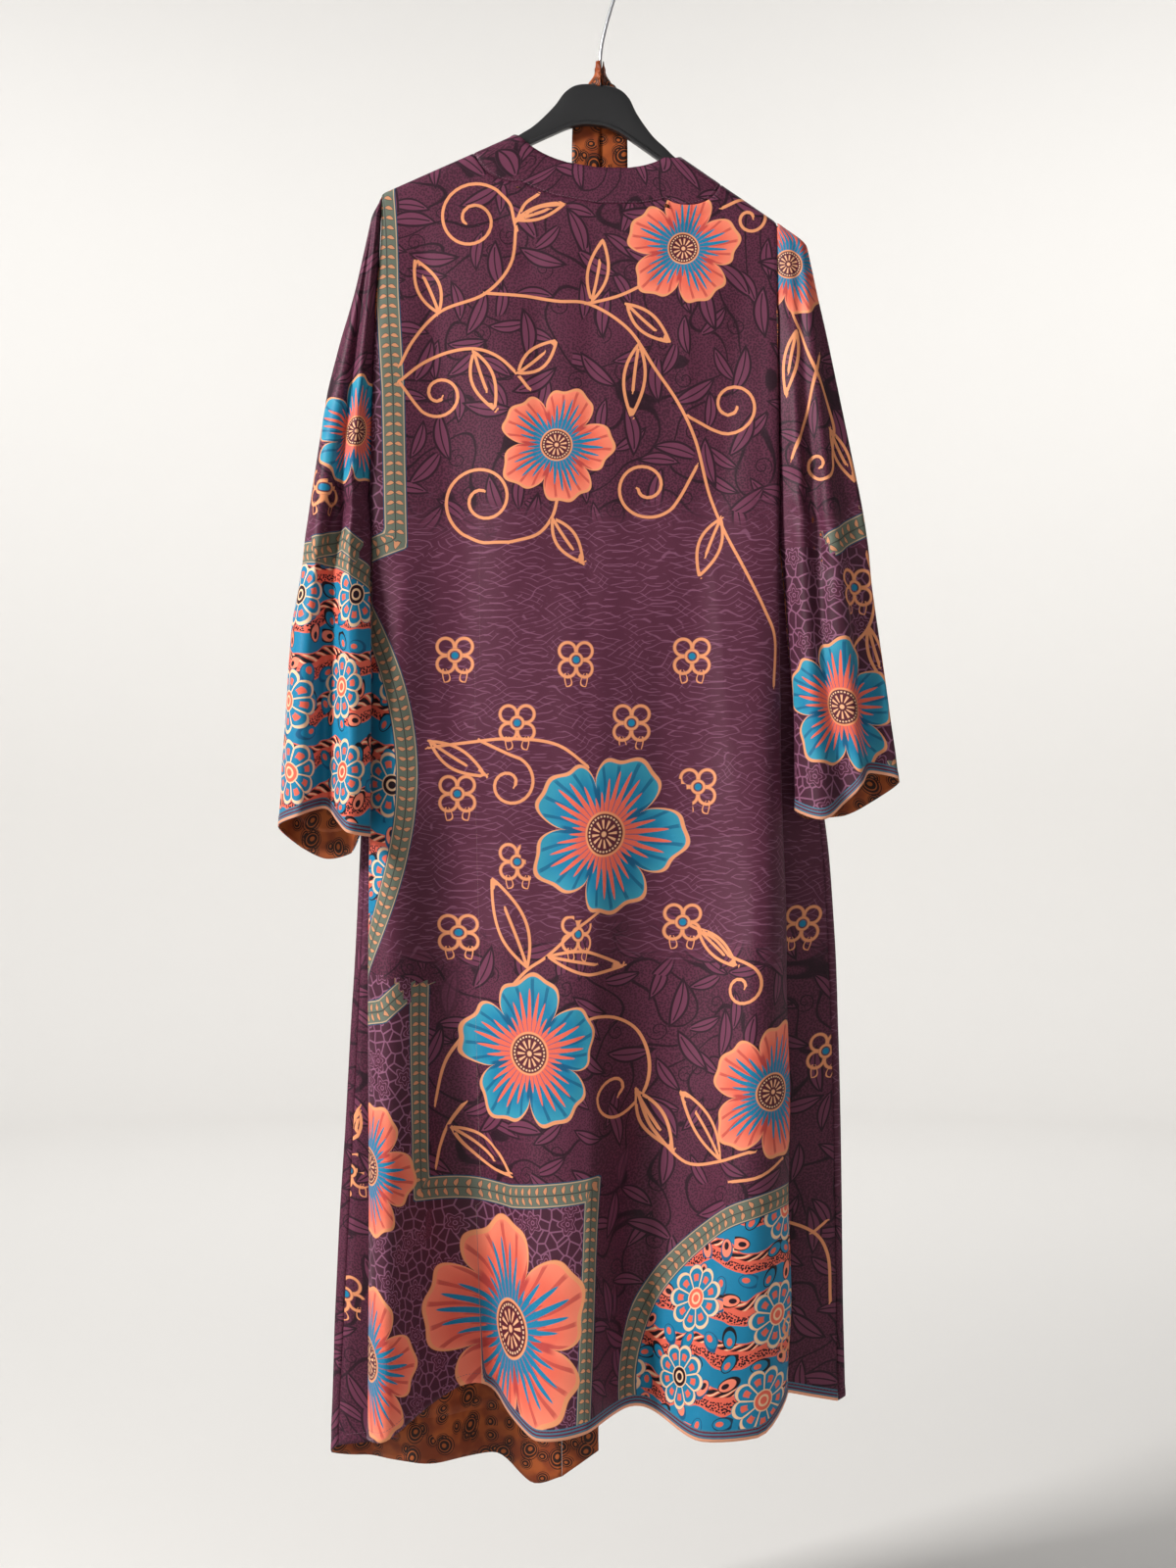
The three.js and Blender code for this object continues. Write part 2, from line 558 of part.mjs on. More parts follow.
const footLine = [...TIP.slice(3), ...LOWER_EDGE];
const footInner = footLine.map(([x, z], i) => [x - (i < 2 ? 2 : 0), z + 4.2]);
const foot = [
  ...footLine,
  ...footLine.slice(0, -1).toReversed().map(([x, z]) => [-x, z]),
  ...footInner.slice(0, -1).map(([x, z]) => [-x, z]),
  ...footInner.toReversed(),
];
const bore = wasm.Manifold.cylinder(BORE_DEPTH + 4, WIRE_RADIUS + 0.2, WIRE_RADIUS + 0.2, 16)
  .translate([0, 0, HUMP_TOP.z - BORE_DEPTH]);
const moulding = wasm.Manifold.union(plate(outline, HANGER_WEB, 0.9), plate(foot, HANGER_FOOT, 0.8));
addMesh("hanger_body", toGeometry(moulding.subtract(bore)), PLASTIC);

//  The belt's middle line from its left end over the stem to the right one, its width there and its lean:
//  0 lies flat behind the hanger, 1 stands upright against the stem.
//   x, y, z, width, lean
const BELT_HALF = [
  [-16, 3, -1085, 29, 0],
  [-17, -3, -950, 29, 0],
  [-15.5, 2, -780, 29, 0],
  [-16, 4, -600, 29, 0],
  [-15.5, 2, -420, 29, 0],
  [-15.3, 3, -300, 29, 0],
  [-15.2, 8, -215, 29, 0],
  [-15, 8.6, -180, 28.6, 0],
  [-14.6, 8.6, -155, 27, 0],
  [-12, 8, -138, 22, 0.12],
  [-9, 7, -127, 19, 0.4],
  [-6, 3.6, -121, 20, 0.8],
  [-4.2, -1.2, -120.5, 21, 1],
  [-2.5, -3.2, -119.5, 22, 1],
];
const BELT_FRONT = [0, -4, -119, 22, 1];
const beltRows = [
  ...BELT_HALF,
  BELT_FRONT,
  ...BELT_HALF.toReversed().map(([x, y, z, width, lean]) => [-x, y, z, width, -lean]),
];

function beltGrid() {
  return beltRows.map(([x, y, z, width, lean], i) => {
    const turn = (lean * Math.PI) / 2;
    const half = i > BELT_HALF.length ? -1 : 1;
    const wide = new THREE.Vector3(Math.cos(turn), 0, Math.sin(turn) * half);
    return [-0.5, -0.17, 0.17, 0.5].map((f) => {
      const p = wide.clone().multiplyScalar(f * width * (half > 0 ? 1 : -1));
      return p.add(new THREE.Vector3(x, y, z));
    });
  });
}
addMesh("belt", wall(beltGrid(), BELT_CLOTH, 1), RUST_SILK);

export default group;
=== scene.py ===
# %% [markdown]
# # A silk kimono robe on its hanger
# A long robe of printed silk crepe hangs by its shoulders from a moulded hanger. Its cloth is built as thin
# sheets that follow the fold lines of the CAD part, each sheet finer than the part's own wall, and its print is
# drawn in the material from places that each sheet carries with it. This first cell loads the fixed frame.

import math
from functools import partial

import bmesh
import bpy
import numpy as np
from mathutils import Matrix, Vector


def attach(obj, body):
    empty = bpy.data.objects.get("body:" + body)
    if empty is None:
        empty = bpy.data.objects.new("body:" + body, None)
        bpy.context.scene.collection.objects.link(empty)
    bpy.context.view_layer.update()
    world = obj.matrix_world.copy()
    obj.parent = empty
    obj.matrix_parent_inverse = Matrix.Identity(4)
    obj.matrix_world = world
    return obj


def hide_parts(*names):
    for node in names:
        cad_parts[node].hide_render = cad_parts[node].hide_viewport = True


bpy.ops.wm.read_factory_settings(use_empty=True)
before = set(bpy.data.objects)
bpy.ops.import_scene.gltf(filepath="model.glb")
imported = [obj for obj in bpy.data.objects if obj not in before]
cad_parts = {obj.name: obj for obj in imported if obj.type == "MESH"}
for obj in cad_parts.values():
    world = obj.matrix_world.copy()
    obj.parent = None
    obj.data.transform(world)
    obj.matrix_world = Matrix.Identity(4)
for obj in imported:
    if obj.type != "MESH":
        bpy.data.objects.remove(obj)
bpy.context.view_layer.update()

MM, TURN = 0.001, 6.283
STEP = 5.0  # mm between the points of a cloth grid


def added(name, data):
    """A new object in the scene."""
    made = bpy.data.objects.new(name, data)
    bpy.context.collection.objects.link(made)
    return made


# %% [markdown]
# ## The fold lines
# Hung cloth could be simulated, but these folds are particular ones: a deep valley at the left, a pressed step
# down the middle, a roll at the right. So each is a line with its place at a few heights, and the cloth is a
# smooth curve across the lines at every height. The tables are in millimetres, as in the CAD part.

# %% Sizes and fold tables
RIDGE, ARMPIT, WAIST, MIDDLE, HEM = -205, -535, -640, -935, -1510
BODY_LEVELS = [RIDGE, ARMPIT, WAIST, MIDDLE, HEM]
LEFT_LEVELS = [-250, ARMPIT, -715, -890]  # shoulder tip, armpit, elbow, cuff
RIGHT_LEVELS = [-272, ARMPIT, -715, -880]
LEFT_ARMHOLE, RIGHT_ARMHOLE = -222, 180
BAND_WIDTH = 38
RIDGE_RADIUS = 8  # of the cloth's bend over the hanger's arm
OVER_SHOULDER = 16  # how far the back runs over the shoulder to the front
NECK_CENTRE, NECK_HALF_WIDTH, NECK_DROP, YOKE = -2.5, 129.5, 74, 84
CLOTH, LINING = 1.0, 0.8
SEWN_IN = 1.6  # how far a sleeve's edge reaches in under the body
EVEN_LEVEL = -1100  # the height at which the body's columns are spread evenly
EDGE_SHARE = 0.0004  # the back's outermost columns keep this far from its seams


def between(levels, values, z):
    """The smooth curve through (levels, values), held level beyond its ends. The levels go down."""
    t, v = -np.asarray(levels, float), np.asarray(values, float)
    i = np.arange(len(t))
    a, b = np.maximum(i - 1, 0), np.minimum(i + 1, len(t) - 1)
    slope = (v[b] - v[a]) / (t[b] - t[a])
    x = np.clip(-np.asarray(z, float), t[0], t[-1])
    k = np.clip(np.searchsorted(t, x, side="right") - 1, 0, len(t) - 2)
    h = t[k + 1] - t[k]
    u = (x - t[k]) / h
    start = (2 * u**3 - 3 * u**2 + 1) * v[k] + (u**3 - 2 * u**2 + u) * h * slope[k]
    return start + (3 * u**2 - 2 * u**3) * v[k + 1] + (u**3 - u**2) * h * slope[k + 1]


class Fold:
    """One fold line: its x and y at each level, and how far it lifts the hem."""

    def __init__(self, levels, x, y, lift):
        self.levels, self.x, self.y, self.lift = levels, x, y, lift

    def at(self, z):
        return np.array([between(self.levels, self.x, z), between(self.levels, self.y, z)])


def folds(levels, *rows):
    return [Fold(levels, x, y, lift) for x, y, lift in rows]


#   x at each level                y at each level            lift
BACK = folds(
    BODY_LEVELS,
    ([-222, -235, -237, -242, -270], [-9, -2, 6, 15, 30], -18),  # left side seam
    ([-221.5, -234, -229, -222, -207], [-9, -5, 0, 9, 20], -8),
    ([-219, -231, -233, -237, -237], [-9, -9, -8, -1, -4], 0),  # the edge that is seen
    ([-205, -214, -214, -214, -217], [-10, -14, -15, -23, -48], 6),
    ([-140, -142, -142, -140, -127], [-10, -10, -9, -6, 42], 42),  # the deep valley
    ([-60, -60, -59, -55, -66], [-11, -14, -16, -24, -50], 7),
    ([-7, -7, -7, -8, -11], [-12, -17, -19, -32, -56], 14),
    ([50, 50, 50, 50, 38], [-10, -10, -10, -8, 22], 24),
    ([120, 125, 130, 158, 102], [-11, -14, -16, -28, -52], 8),
    ([155, 163, 165, 177, 160], [-10, -12, -14, -22, -48], 12),
    ([174, 180, 183, 189, 193], [-9, -9, -8, -2, -4], 46),
    ([179, 183, 181, 172, 160], [-9, -5, 2, 16, 22], 44),
    ([RIGHT_ARMHOLE, 184, 189, 232, 248], [-9, -2, 9, 29, 36], 26),  # right side seam
)
FRONT_LEFT = folds(
    BODY_LEVELS,
    ([-219, -232, -236, -249, -279], [9.5, 9, 14, 27, 41], -28),
    ([-205, -212, -214, -226, -247], [11, 18, 22, 44, 66], -38),
    ([-175, -168, -168, -168, -178], [10, 12, 14, 26, 26], -36),
    ([-150, -118, -117, -112, -112], [11, 19, 23, 45, 64], -35),
    ([-140, -85, -83, -70, -68], [10, 16, 20, 38, 44], -62),
    ([-132, -60, -57, -41, -39], [10, 14, 17, 31, 36], -52),
)
FRONT_RIGHT = folds(
    BODY_LEVELS,
    ([178, 182, 187, 240, 257], [9.5, 9, 17, 41, 46], 30),
    ([168, 166, 172, 216, 230], [11, 18, 26, 57, 72], 30),
    ([155, 145, 149, 168, 172], [10, 12, 16, 35, 34], 32),
    ([142, 118, 117, 112, 116], [11, 19, 24, 48, 62], 30),
    ([127, 84, 81, 63, 67], [10, 14, 17, 31, 40], 30),
)
BAND_LEFT = [FRONT_LEFT[-1]] + folds(
    BODY_LEVELS,
    ([-113, -41, -38, -22, -20], [10.5, 15, 17, 30, 33], -38),
    ([-94, -22, -19, -3, -1], [9, 13, 15, 26, 28], -23),
)
BAND_RIGHT = [FRONT_RIGHT[-1]] + folds(
    BODY_LEVELS,
    ([108, 65, 62, 44, 48], [10.5, 15, 17, 30, 37], 30),
    ([89, 46, 43, 25, 29], [9, 13, 15, 26, 32], 30),
)
SLEEVE_LEFT = folds(
    LEFT_LEVELS,
    ([-222.5, -235.5, -239, -241], [-9, -1.6, -21, -20], 4),
    ([-223, -238, -230, -231], [-9.5, -10, -31, -33], -8),
    ([-225, -250, -251, -251], [-11, -26, -50, -54], -4),
    ([-227, -266, -277, -281], [-10, -9, -12, -6], 20),  # the crease between its two rolls
    ([-228, -277, -296, -303], [-8, -21, -34, -38], 13),
    ([-229, -290, -314, -327], [0, -2, -5, -5], 2),
    ([-228, -276, -300, -308], [8, 16, 17, 22], -20),
    ([-226, -258, -272, -279], [11, 14, 11, 16], -32),
    ([-224, -243, -250, -254], [11, 8, -4, -2], -26),
    ([-222.5, -235.5, -239.5, -241.5], [9, 1.6, -20.3, -19.3], -4),
)
SLEEVE_RIGHT = folds(
    RIGHT_LEVELS,
    ([180.5, 184.5, 197, 199], [-9, -1.6, 3, 3], 10),
    ([186, 190, 197, 200], [-9.5, -8, -6, -8], 7),
    ([192, 203, 212, 224], [-10.5, -16, -22, -30], -1),
    ([197, 216, 228, 250], [-10.5, -9, -13, -18], 15),
    ([202, 230, 250, 268], [-10, -18, -26, -26], 33),
    ([205, 243, 265, 278], [-8, -8, -8, -6], 46),
    ([206, 262, 289, 311], [0, -3, -4, -4], 39),
    ([203, 245, 268, 285], [9, 10, 11, 13], 19),
    ([195, 225, 240, 250], [11, 11, 12, 13], 2),
    ([187, 200, 209, 213], [11, 7, 10, 11], -1),
    ([180.5, 184.5, 196.6, 198.6], [9, 1.6, 3.6, 3.6], 8),
)
print("fold lines:", sum(map(len, (BACK, FRONT_LEFT, FRONT_RIGHT, SLEEVE_LEFT, SLEEVE_RIGHT))))


# %% [markdown]
# ## Curves across the folds
# The curve over the fold lines is a centripetal Catmull-Rom, which passes through every line and doesn't
# overshoot between two that lie close. Near the shoulder the cloth bends over the hanger's arm, a quarter turn
# each way, and its folds grow as it leaves the arm.

# %% From a share across and a height to a place
def smoothstep(x, low, high):
    t = np.clip((np.asarray(x, float) - low) / max(high - low, 1e-6), 0, 1)
    return t * t * (3 - 2 * t)


def lerp(a, b, f):
    return a + (b - a) * f


def through(line, s):
    """The curve over line[0], line[1] and so on, at the share s of its knots; line is (knot, axis, grid)."""
    line = np.concatenate([2 * line[:1] - line[1:2], line, 2 * line[-1:] - line[-2:-1]])
    place = np.clip(s, 0, 1) * (len(line) - 3)
    k = np.minimum(place.astype(int), len(line) - 4)
    t = place - k
    pick = lambda i: np.take_along_axis(line, np.broadcast_to(k + i, line.shape[1:])[None], 0)[0]
    p = [pick(i) for i in range(4)]
    d = [np.maximum(((p[i + 1] - p[i]) ** 2).sum(0) ** 0.25, 1e-3) for i in range(3)]
    go_in = ((p[1] - p[0]) / d[0] - (p[2] - p[0]) / (d[0] + d[1]) + (p[2] - p[1]) / d[1]) * d[1]
    go_out = ((p[2] - p[1]) / d[1] - (p[3] - p[1]) / (d[1] + d[2]) + (p[3] - p[2]) / d[2]) * d[1]
    square = -3 * p[1] + 3 * p[2] - 2 * go_in - go_out
    return p[1] + go_in * t + square * t**2 + (2 * p[1] - 2 * p[2] + go_in + go_out) * t**3


def across(table, s, z):
    s, z = np.broadcast_arrays(np.asarray(s, float), np.asarray(z, float))
    return through(np.array([fold.at(z) for fold in table]), s)


def lift(table, s):
    s = np.asarray(s, float)
    knots = np.array([fold.lift for fold in table], float)
    return through(knots.reshape(-1, 1, *[1] * s.ndim) * np.ones((1, 1, *s.shape)), s)[0]


TILT = math.radians(5.3)  # the hanger's right end hangs lower
HUMP = (-2, -133)  # x, z of its top


def on_hanger(x, z):
    """From the hanger's own frame, its hump's top at 0, 0, to the robe's."""
    return (HUMP[0] + x * math.cos(TILT) + z * math.sin(TILT),
            HUMP[1] - x * math.sin(TILT) + z * math.cos(TILT))


ARM_LINE = [(211, -134), (86, -64), (74, -55)]
SHOULDER = np.array(
    [on_hanger(-x, z) for x, z in ARM_LINE] + [on_hanger(x, z) for x, z in ARM_LINE[::-1]]
)
SHOULDER[0] += (SHOULDER[0] - SHOULDER[1]) * 0.6
SHOULDER[-1] += (SHOULDER[-1] - SHOULDER[-2]) * 0.6
QUARTER = RIDGE_RADIUS * math.pi / 2


def shoulder_top(x):
    return np.interp(x, SHOULDER[:, 0], SHOULDER[:, 1]) + 2.7


def bend_out(drop):
    """How far the cloth stands out from the shoulder line, drop below it."""
    drop = np.clip(drop, 0, RIDGE_RADIUS)
    return np.sqrt(2 * RIDGE_RADIUS * drop - drop * drop)


def drop_along(along):
    size = np.abs(along)
    bent = RIDGE_RADIUS * (1 - np.cos(np.minimum(size, QUARTER) / RIDGE_RADIUS))
    return bent + np.maximum(size - QUARTER, 0)


def body_point(table, side, s, z):
    ridge = across(table, s, RIDGE)
    level = lerp(RIDGE, z, smoothstep(shoulder_top(ridge[0]) - z, 14, 120))
    x, y = across(table, s, level)
    drop = shoulder_top(x) - z
    y = lerp(side * bend_out(drop), y, smoothstep(drop, RIDGE_RADIUS, 170))
    return np.stack([x, y, z], -1)


def shoulder_point(table, side, s, along):
    x = across(table, s, RIDGE)[0]
    drop = drop_along(along)
    z = shoulder_top(x) - drop
    over = np.stack([x, -side * bend_out(drop), z], -1)
    return np.where((along > 0)[..., None], body_point(table, side, s, z), over)


# The fronts start on the back's side seam, and each sleeve on the seams of both.
def side_seam(seam, side):
    fold = Fold(seam.levels, seam.x, seam.y, seam.lift)

    def at(z):
        x, y = seam.at(z)
        low = smoothstep(-z, -ARMPIT - 5, -ARMPIT + 60)
        return np.array([x + side * low * 0.5, lerp(-y, y + 2.9, low)])

    fold.at = at
    return fold


def armhole(own, seam, side, y_step):
    fold = Fold(own.levels, own.x, own.y, own.lift)

    def at(z):
        sewn = seam.at(z) + np.array([-side * SEWN_IN, y_step]).reshape(2, *[1] * np.ndim(z))
        low = smoothstep(-z, -ARMPIT - 8, -ARMPIT + 110)
        place = lerp(sewn, own.at(z), low)
        place[0] -= side * 5 * smoothstep(-z, -ARMPIT, -ARMPIT + 60) * (1 - smoothstep(-z, 690, 790))
        return place

    fold.at = at
    return fold


front_left = [side_seam(BACK[0], -1), *FRONT_LEFT]
front_right = [side_seam(BACK[-1], 1), *FRONT_RIGHT]
sleeve_left = [armhole(SLEEVE_LEFT[0], BACK[0], -1, 1.1), *SLEEVE_LEFT[1:-1],
               armhole(SLEEVE_LEFT[-1], front_left[0], -1, -1.1)]
sleeve_right = [armhole(SLEEVE_RIGHT[0], BACK[-1], 1, 1.1), *SLEEVE_RIGHT[1:-1],
                armhole(SLEEVE_RIGHT[-1], front_right[0], 1, -1.1)]
print("neck at", np.round(body_point(BACK, -1, np.array([0.5]), np.array([-260.0])), 1))


# %% [markdown]
# ## Cloth grids
# Each piece becomes a grid of points, rows going down. Its columns are spread evenly along the cloth, so the
# squares stay square, and every point also gets its place on the flat cut: how far across and how far down the
# cloth it lies. The print is drawn on the flat cut, so it bends into the folds as real printing does.

# %% The grids
def even_shares(table, z, count):
    s = np.linspace(0, 1, 600)
    curve = across(table, s, z)
    length = np.concatenate([[0], np.cumsum(np.hypot(*np.diff(curve, axis=1)))])
    return np.interp(np.linspace(0, length[-1], count), length, s), length[-1]


def flat_across(table, s, z, centre):
    """How far across the flat cut each point lies, from the column at the share centre."""
    shares, pitch = np.linspace(0, 1, 300), 20.0
    levels = np.arange(-160, -1640, -pitch)
    curve = across(table, shares[None], np.broadcast_to(levels[:, None], (len(levels), len(shares))))
    run = np.cumsum(np.hypot(*np.diff(curve, axis=2)), axis=1)
    run = np.concatenate([np.zeros((len(levels), 1)), run], axis=1)
    run -= np.array([np.interp(centre, shares, r) for r in run])[:, None]
    row = np.clip((levels[0] - z) / pitch, 0, len(levels) - 1.001)
    col = np.clip(s, 0, 1) * (len(shares) - 1.001)
    i, j = row.astype(int), col.astype(int)
    f, g = row - i, col - j
    top = lerp(run[i, j], run[i, j + 1], g)
    return lerp(top, lerp(run[i + 1, j], run[i + 1, j + 1], g), f)


def rows_between(a, b, step):
    return max(2, int(round(abs(b - a) / step)))


NECK_REACH = np.linspace(0, 1, 24)


def neck_out(reach):
    return 0.93 * (1 - reach**2.4) ** 0.45 + 0.07 * (1 - reach)


NECK_SIDE = np.concatenate([-np.ones(len(NECK_REACH)), np.ones(len(NECK_REACH) - 1)])
NECK_COLUMNS = np.concatenate([NECK_REACH, NECK_REACH[-2::-1]])


def back_grid():
    neck_x = NECK_CENTRE + NECK_SIDE * NECK_HALF_WIDTH * neck_out(NECK_COLUMNS)
    table = np.linspace(0, 1, 2000)
    neck = np.interp(neck_x, across(BACK, table, RIDGE)[0], table)
    side = rows_between(0, 210, STEP)
    share = np.concatenate([np.linspace(EDGE_SHARE, neck[0], side)[:-1], neck,
                            np.linspace(neck[-1], 1 - EDGE_SHARE, side)[1:]])
    flat = np.full(side - 1, 0.0)
    top = lerp(-OVER_SHOULDER, NECK_DROP, np.concatenate([flat, NECK_COLUMNS, flat]))
    even = even_shares(BACK, EVEN_LEVEL, len(share))[0]
    even[0], even[-1] = EDGE_SHARE, 1 - EDGE_SHARE
    n = rows_between(-OVER_SHOULDER, YOKE, STEP * 0.6)
    f = np.linspace(0, 1, n)[:, None]
    s_yoke = lerp(share, even, f**2)
    yoke = shoulder_point(BACK, -1, s_yoke, lerp(top, YOKE, f))
    return finish_grid(BACK, -1, s_yoke, yoke, even, 0.505)


def finish_grid(table, side, s_yoke, yoke, even, centre):
    """Carries a yoke of rows on down to the hem, and adds the flat cut's places."""
    n = rows_between(-280, ARMPIT, STEP)
    f = np.linspace(0, 1, n)[1:, None]
    even = np.broadcast_to(even, (1, len(even)))
    chest = body_point(table, side, even + 0 * f, lerp(yoke[-1:, :, 2], ARMPIT, f))
    n = rows_between(ARMPIT, HEM, STEP)
    f = np.linspace(0, 1, n)[1:, None]
    skirt = body_point(table, side, even + 0 * f, lerp(ARMPIT, HEM + lift(table, even), f))
    points = np.concatenate([yoke, chest, skirt])
    s = np.concatenate([s_yoke, np.broadcast_to(even, (len(points) - len(yoke), even.shape[1]))])
    across_cut = flat_across(table, s, points[..., 2], centre)
    return points, across_cut


def front_grid(table, centre):
    width = even_shares(table, EVEN_LEVEL, 2)[1]
    even = even_shares(table, EVEN_LEVEL, rows_between(0, width, STEP) + 1)[0]
    even = np.clip(even, 0.0006, 0.9994)
    n = rows_between(OVER_SHOULDER, YOKE, STEP)
    f = np.linspace(0, 1, n)[:, None]
    s = even[None] + 0 * f
    yoke = shoulder_point(table, 1, s, lerp(OVER_SHOULDER + 0.15, YOKE, f) + 0 * s)
    return finish_grid(table, 1, s, yoke, even, centre)


def neck_grid():
    rows = rows_between(0, BAND_WIDTH, STEP * 0.7)
    f = np.linspace(0, 1, rows)[:, None]
    inset = lerp(-1.8, BAND_WIDTH, f)  # it reaches a little under the back
    x = NECK_CENTRE + NECK_SIDE * (NECK_HALF_WIDTH - inset) * neck_out(NECK_COLUMNS)
    along = lerp(-OVER_SHOULDER, NECK_DROP - inset, NECK_COLUMNS)
    drop = drop_along(along)
    lean = 3 * f * smoothstep(NECK_COLUMNS, 0.55, 1) + 1.2 * (1 - smoothstep(inset, 0, 3.5))
    points = np.stack([x, lean - np.sign(along) * bend_out(drop), shoulder_top(x) - drop], -1)
    turn = np.cumsum(np.linalg.norm(np.diff(points[0], axis=0), axis=1))
    return points, np.concatenate([[0], turn]) - 190 + 0 * f


def sleeve_grid(table, hole, side):
    levels = table[1].levels
    top = shoulder_top(hole)
    near_cuff = levels[-1] + 40
    width = even_shares(table, near_cuff, 2)[1]
    even = even_shares(table, near_cuff, rows_between(0, width, STEP * 0.8))[0]
    n = rows_between(top, levels[-1], STEP * 0.8)
    f = (np.linspace(0, 1, n) ** 1.08)[:, None]
    s = even[None] + 0 * f
    z = lerp(top - RIDGE_RADIUS * (1 - np.sin(np.pi * s)), levels[-1] + lift(table, s), f)
    x, y = across(table, s, z)
    cap = 1 - smoothstep(top - z, -8, 26)
    x = lerp(x, hole - side * SEWN_IN, cap)
    bend = bend_out(np.maximum(0, top - z)) / RIDGE_RADIUS
    y = lerp(y * bend, (1.1 - RIDGE_RADIUS) * np.cos(np.pi * s), cap)
    return np.stack([x, y, z], -1), flat_across(table, s, z, 0.3)


grids = {
    "back": back_grid(),
    "neck_band": neck_grid(),
    "front_left": front_grid(front_left, 0.3),
    "front_right": front_grid(front_right, 0.3),
    "band_left": front_grid(BAND_LEFT, 0.5),
    "band_right": front_grid(BAND_RIGHT, 0.5),
    "sleeve_left": sleeve_grid(sleeve_left, LEFT_ARMHOLE, -1),
    "sleeve_right": sleeve_grid(sleeve_right, RIGHT_ARMHOLE, 1),
}
for name, (points, cut) in grids.items():
    print(f"{name:13} {points.shape[0]:3} x {points.shape[1]:3}, cut {np.ptp(cut):.0f} mm across")


# %% [markdown]
# ## Creases
# Silk keeps the marks of how it was folded away, and it drags a little from where it hangs. These lines are
# listed, each with its own depth and its own slope on either side. Long shallow ripples run between
# them. Where the back's valleys press in, the fronts behind it give way.

# %% Creases and ripples
FADE_IN, FADE_OUT = 0.22, 0.2  # shares of a crease's length
VALLEY_LIMIT = 19  # mm, so that a valley stays clear of the cloth behind it
#   from x, z, to x, z, depth, left and right (how wide its slopes are), all in mm, and how round its crest is
CREASES = {
    "back": [
        (-8, -228, -11, -700, -9, 46, 40),
        (-11, -480, -14, -1120, -10, 46, 38),
        (-13, -860, -21, -1700, -14, 50, 42),
        (-64, -330, -62, -530, -2.9, 14, 16),
        (88, -360, 92, -500, 2.9, 18, 10),
        (-186, -252, -150, -560, -5.2, 22, 26),
        (148, -292, 122, -580, -4.9, 24, 20),
        (-120, -246, -60, -330, -3.1, 16, 16),
        (110, -262, 52, -340, -3.1, 16, 16),
        (-196, -600, -214, -860, 4.4, 12, 30),
        (-150, -560, -168, -900, 3.9, 18, 34),
        (158, -900, 148, -1480, 6.5, 20, 34),
        (60, -640, 66, -1150, -4.7, 26, 30),
        (-96, -930, -110, -1290, 4.2, 12, 30),
        (-230, -908, 170, -896, -1.3, 5, 5),
        (-236, -1218, -60, -1224, -1.3, 6, 6),
        (20, -1150, 74, -1470, 4.9, 30, 22),
        (110, -560, 138, -900, 4.2, 30, 16),
        (-168, -340, -150, -860, -10, 40, 40, 0.6),
        (104, -330, 108, -900, -11, 50, 40, 0.6),
        (92, -760, 90, -1420, -14, 46, 42, 0.6),
        (-158, -800, -156, -1560, -11, 36, 34, 0.3),
        (54, -560, 52, -1300, 5, 40, 40, 1),
    ],
    "front_left": [(-262, -1000, -270, -1500, 4.4, 12, 20), (-236, -700, -258, -1300, -3.4, 10, 12)],
    "front_right": [(214, -960, 222, -1440, 5.2, 14, 26), (240, -1000, 252, -1450, -4.2, 12, 12)],
    "sleeve_left": [
        (-262, -330, -288, -640, 5.1, 10, 14),
        (-300, -640, -312, -860, 4.5, 12, 16),
        (-246, -560, -256, -860, -3.8, 10, 14),
        (-238, -520, -284, -600, -4.2, 8, 10),
        (-240, -548, -300, -640, -3.5, 8, 10),
    ],
    "sleeve_right": [
        (190, -320, 214, -590, -5.0, 8, 10),
        (196, -340, 206, -620, 5.4, 10, 16),
        (226, -520, 244, -830, 4.5, 12, 18),
        (192, -520, 232, -610, -4.5, 8, 10),
        (190, -556, 246, -650, -3.5, 8, 10),
        (262, -600, 284, -820, -4.2, 12, 12),
    ],
}


def crease_depth(lines, x, z):
    depth = np.zeros_like(x)
    for x0, z0, x1, z1, size, left, right, *soft in lines:
        run = math.hypot(x1 - x0, z1 - z0)
        dx, dz = (x1 - x0) / run, (z1 - z0) / run
        along = (x - x0) * dx + (z - z0) * dz
        off = -((x - x0) * dz - (z - z0) * dx) * (-1 if dz > 0 else 1)
        fade = smoothstep(along, 0, run * FADE_IN) * (1 - smoothstep(along, run * (1 - FADE_OUT), run))
        wide = np.where(off > 0, right, left)
        crest = soft[0] if soft else 0.02
        round_it = (np.sqrt((off / wide) ** 2 + crest) - math.sqrt(crest)) * (1 + crest)
        depth += size * fade * np.exp(-round_it)
    return np.where(depth < 0, VALLEY_LIMIT * np.tanh(depth / VALLEY_LIMIT), depth)


def ripples(u, v, seed, size):
    rng = np.random.default_rng(seed)
    total = np.zeros_like(u)
    for _ in range(7):  # waves
        across_mm, along_mm = rng.uniform(38, 120), rng.uniform(380, 900)
        tilt, phase = rng.uniform(-0.5, 0.5), rng.uniform(0, 6.28)
        wave = np.sin(TURN * (u / across_mm + v / along_mm + tilt * v / 800) + phase)
        total += wave * np.sin(TURN * v / rng.uniform(500, 900) + rng.uniform(0, 6.28))
    return size * total / 2.6


def normals(points):
    across_it = np.gradient(points, axis=1)
    down = np.gradient(points, axis=0)
    n = np.cross(across_it, down)
    return n / np.maximum(np.linalg.norm(n, axis=-1, keepdims=True), 1e-9)


# Which way each piece's normals point: 1 outwards, -1 inwards, with columns left to right or round a sleeve.
OUTWARD = {"back": -1, "neck_band": 1, "front_left": 1, "front_right": -1, "band_left": 1, "band_right": -1,
           "sleeve_left": 1, "sleeve_right": -1}
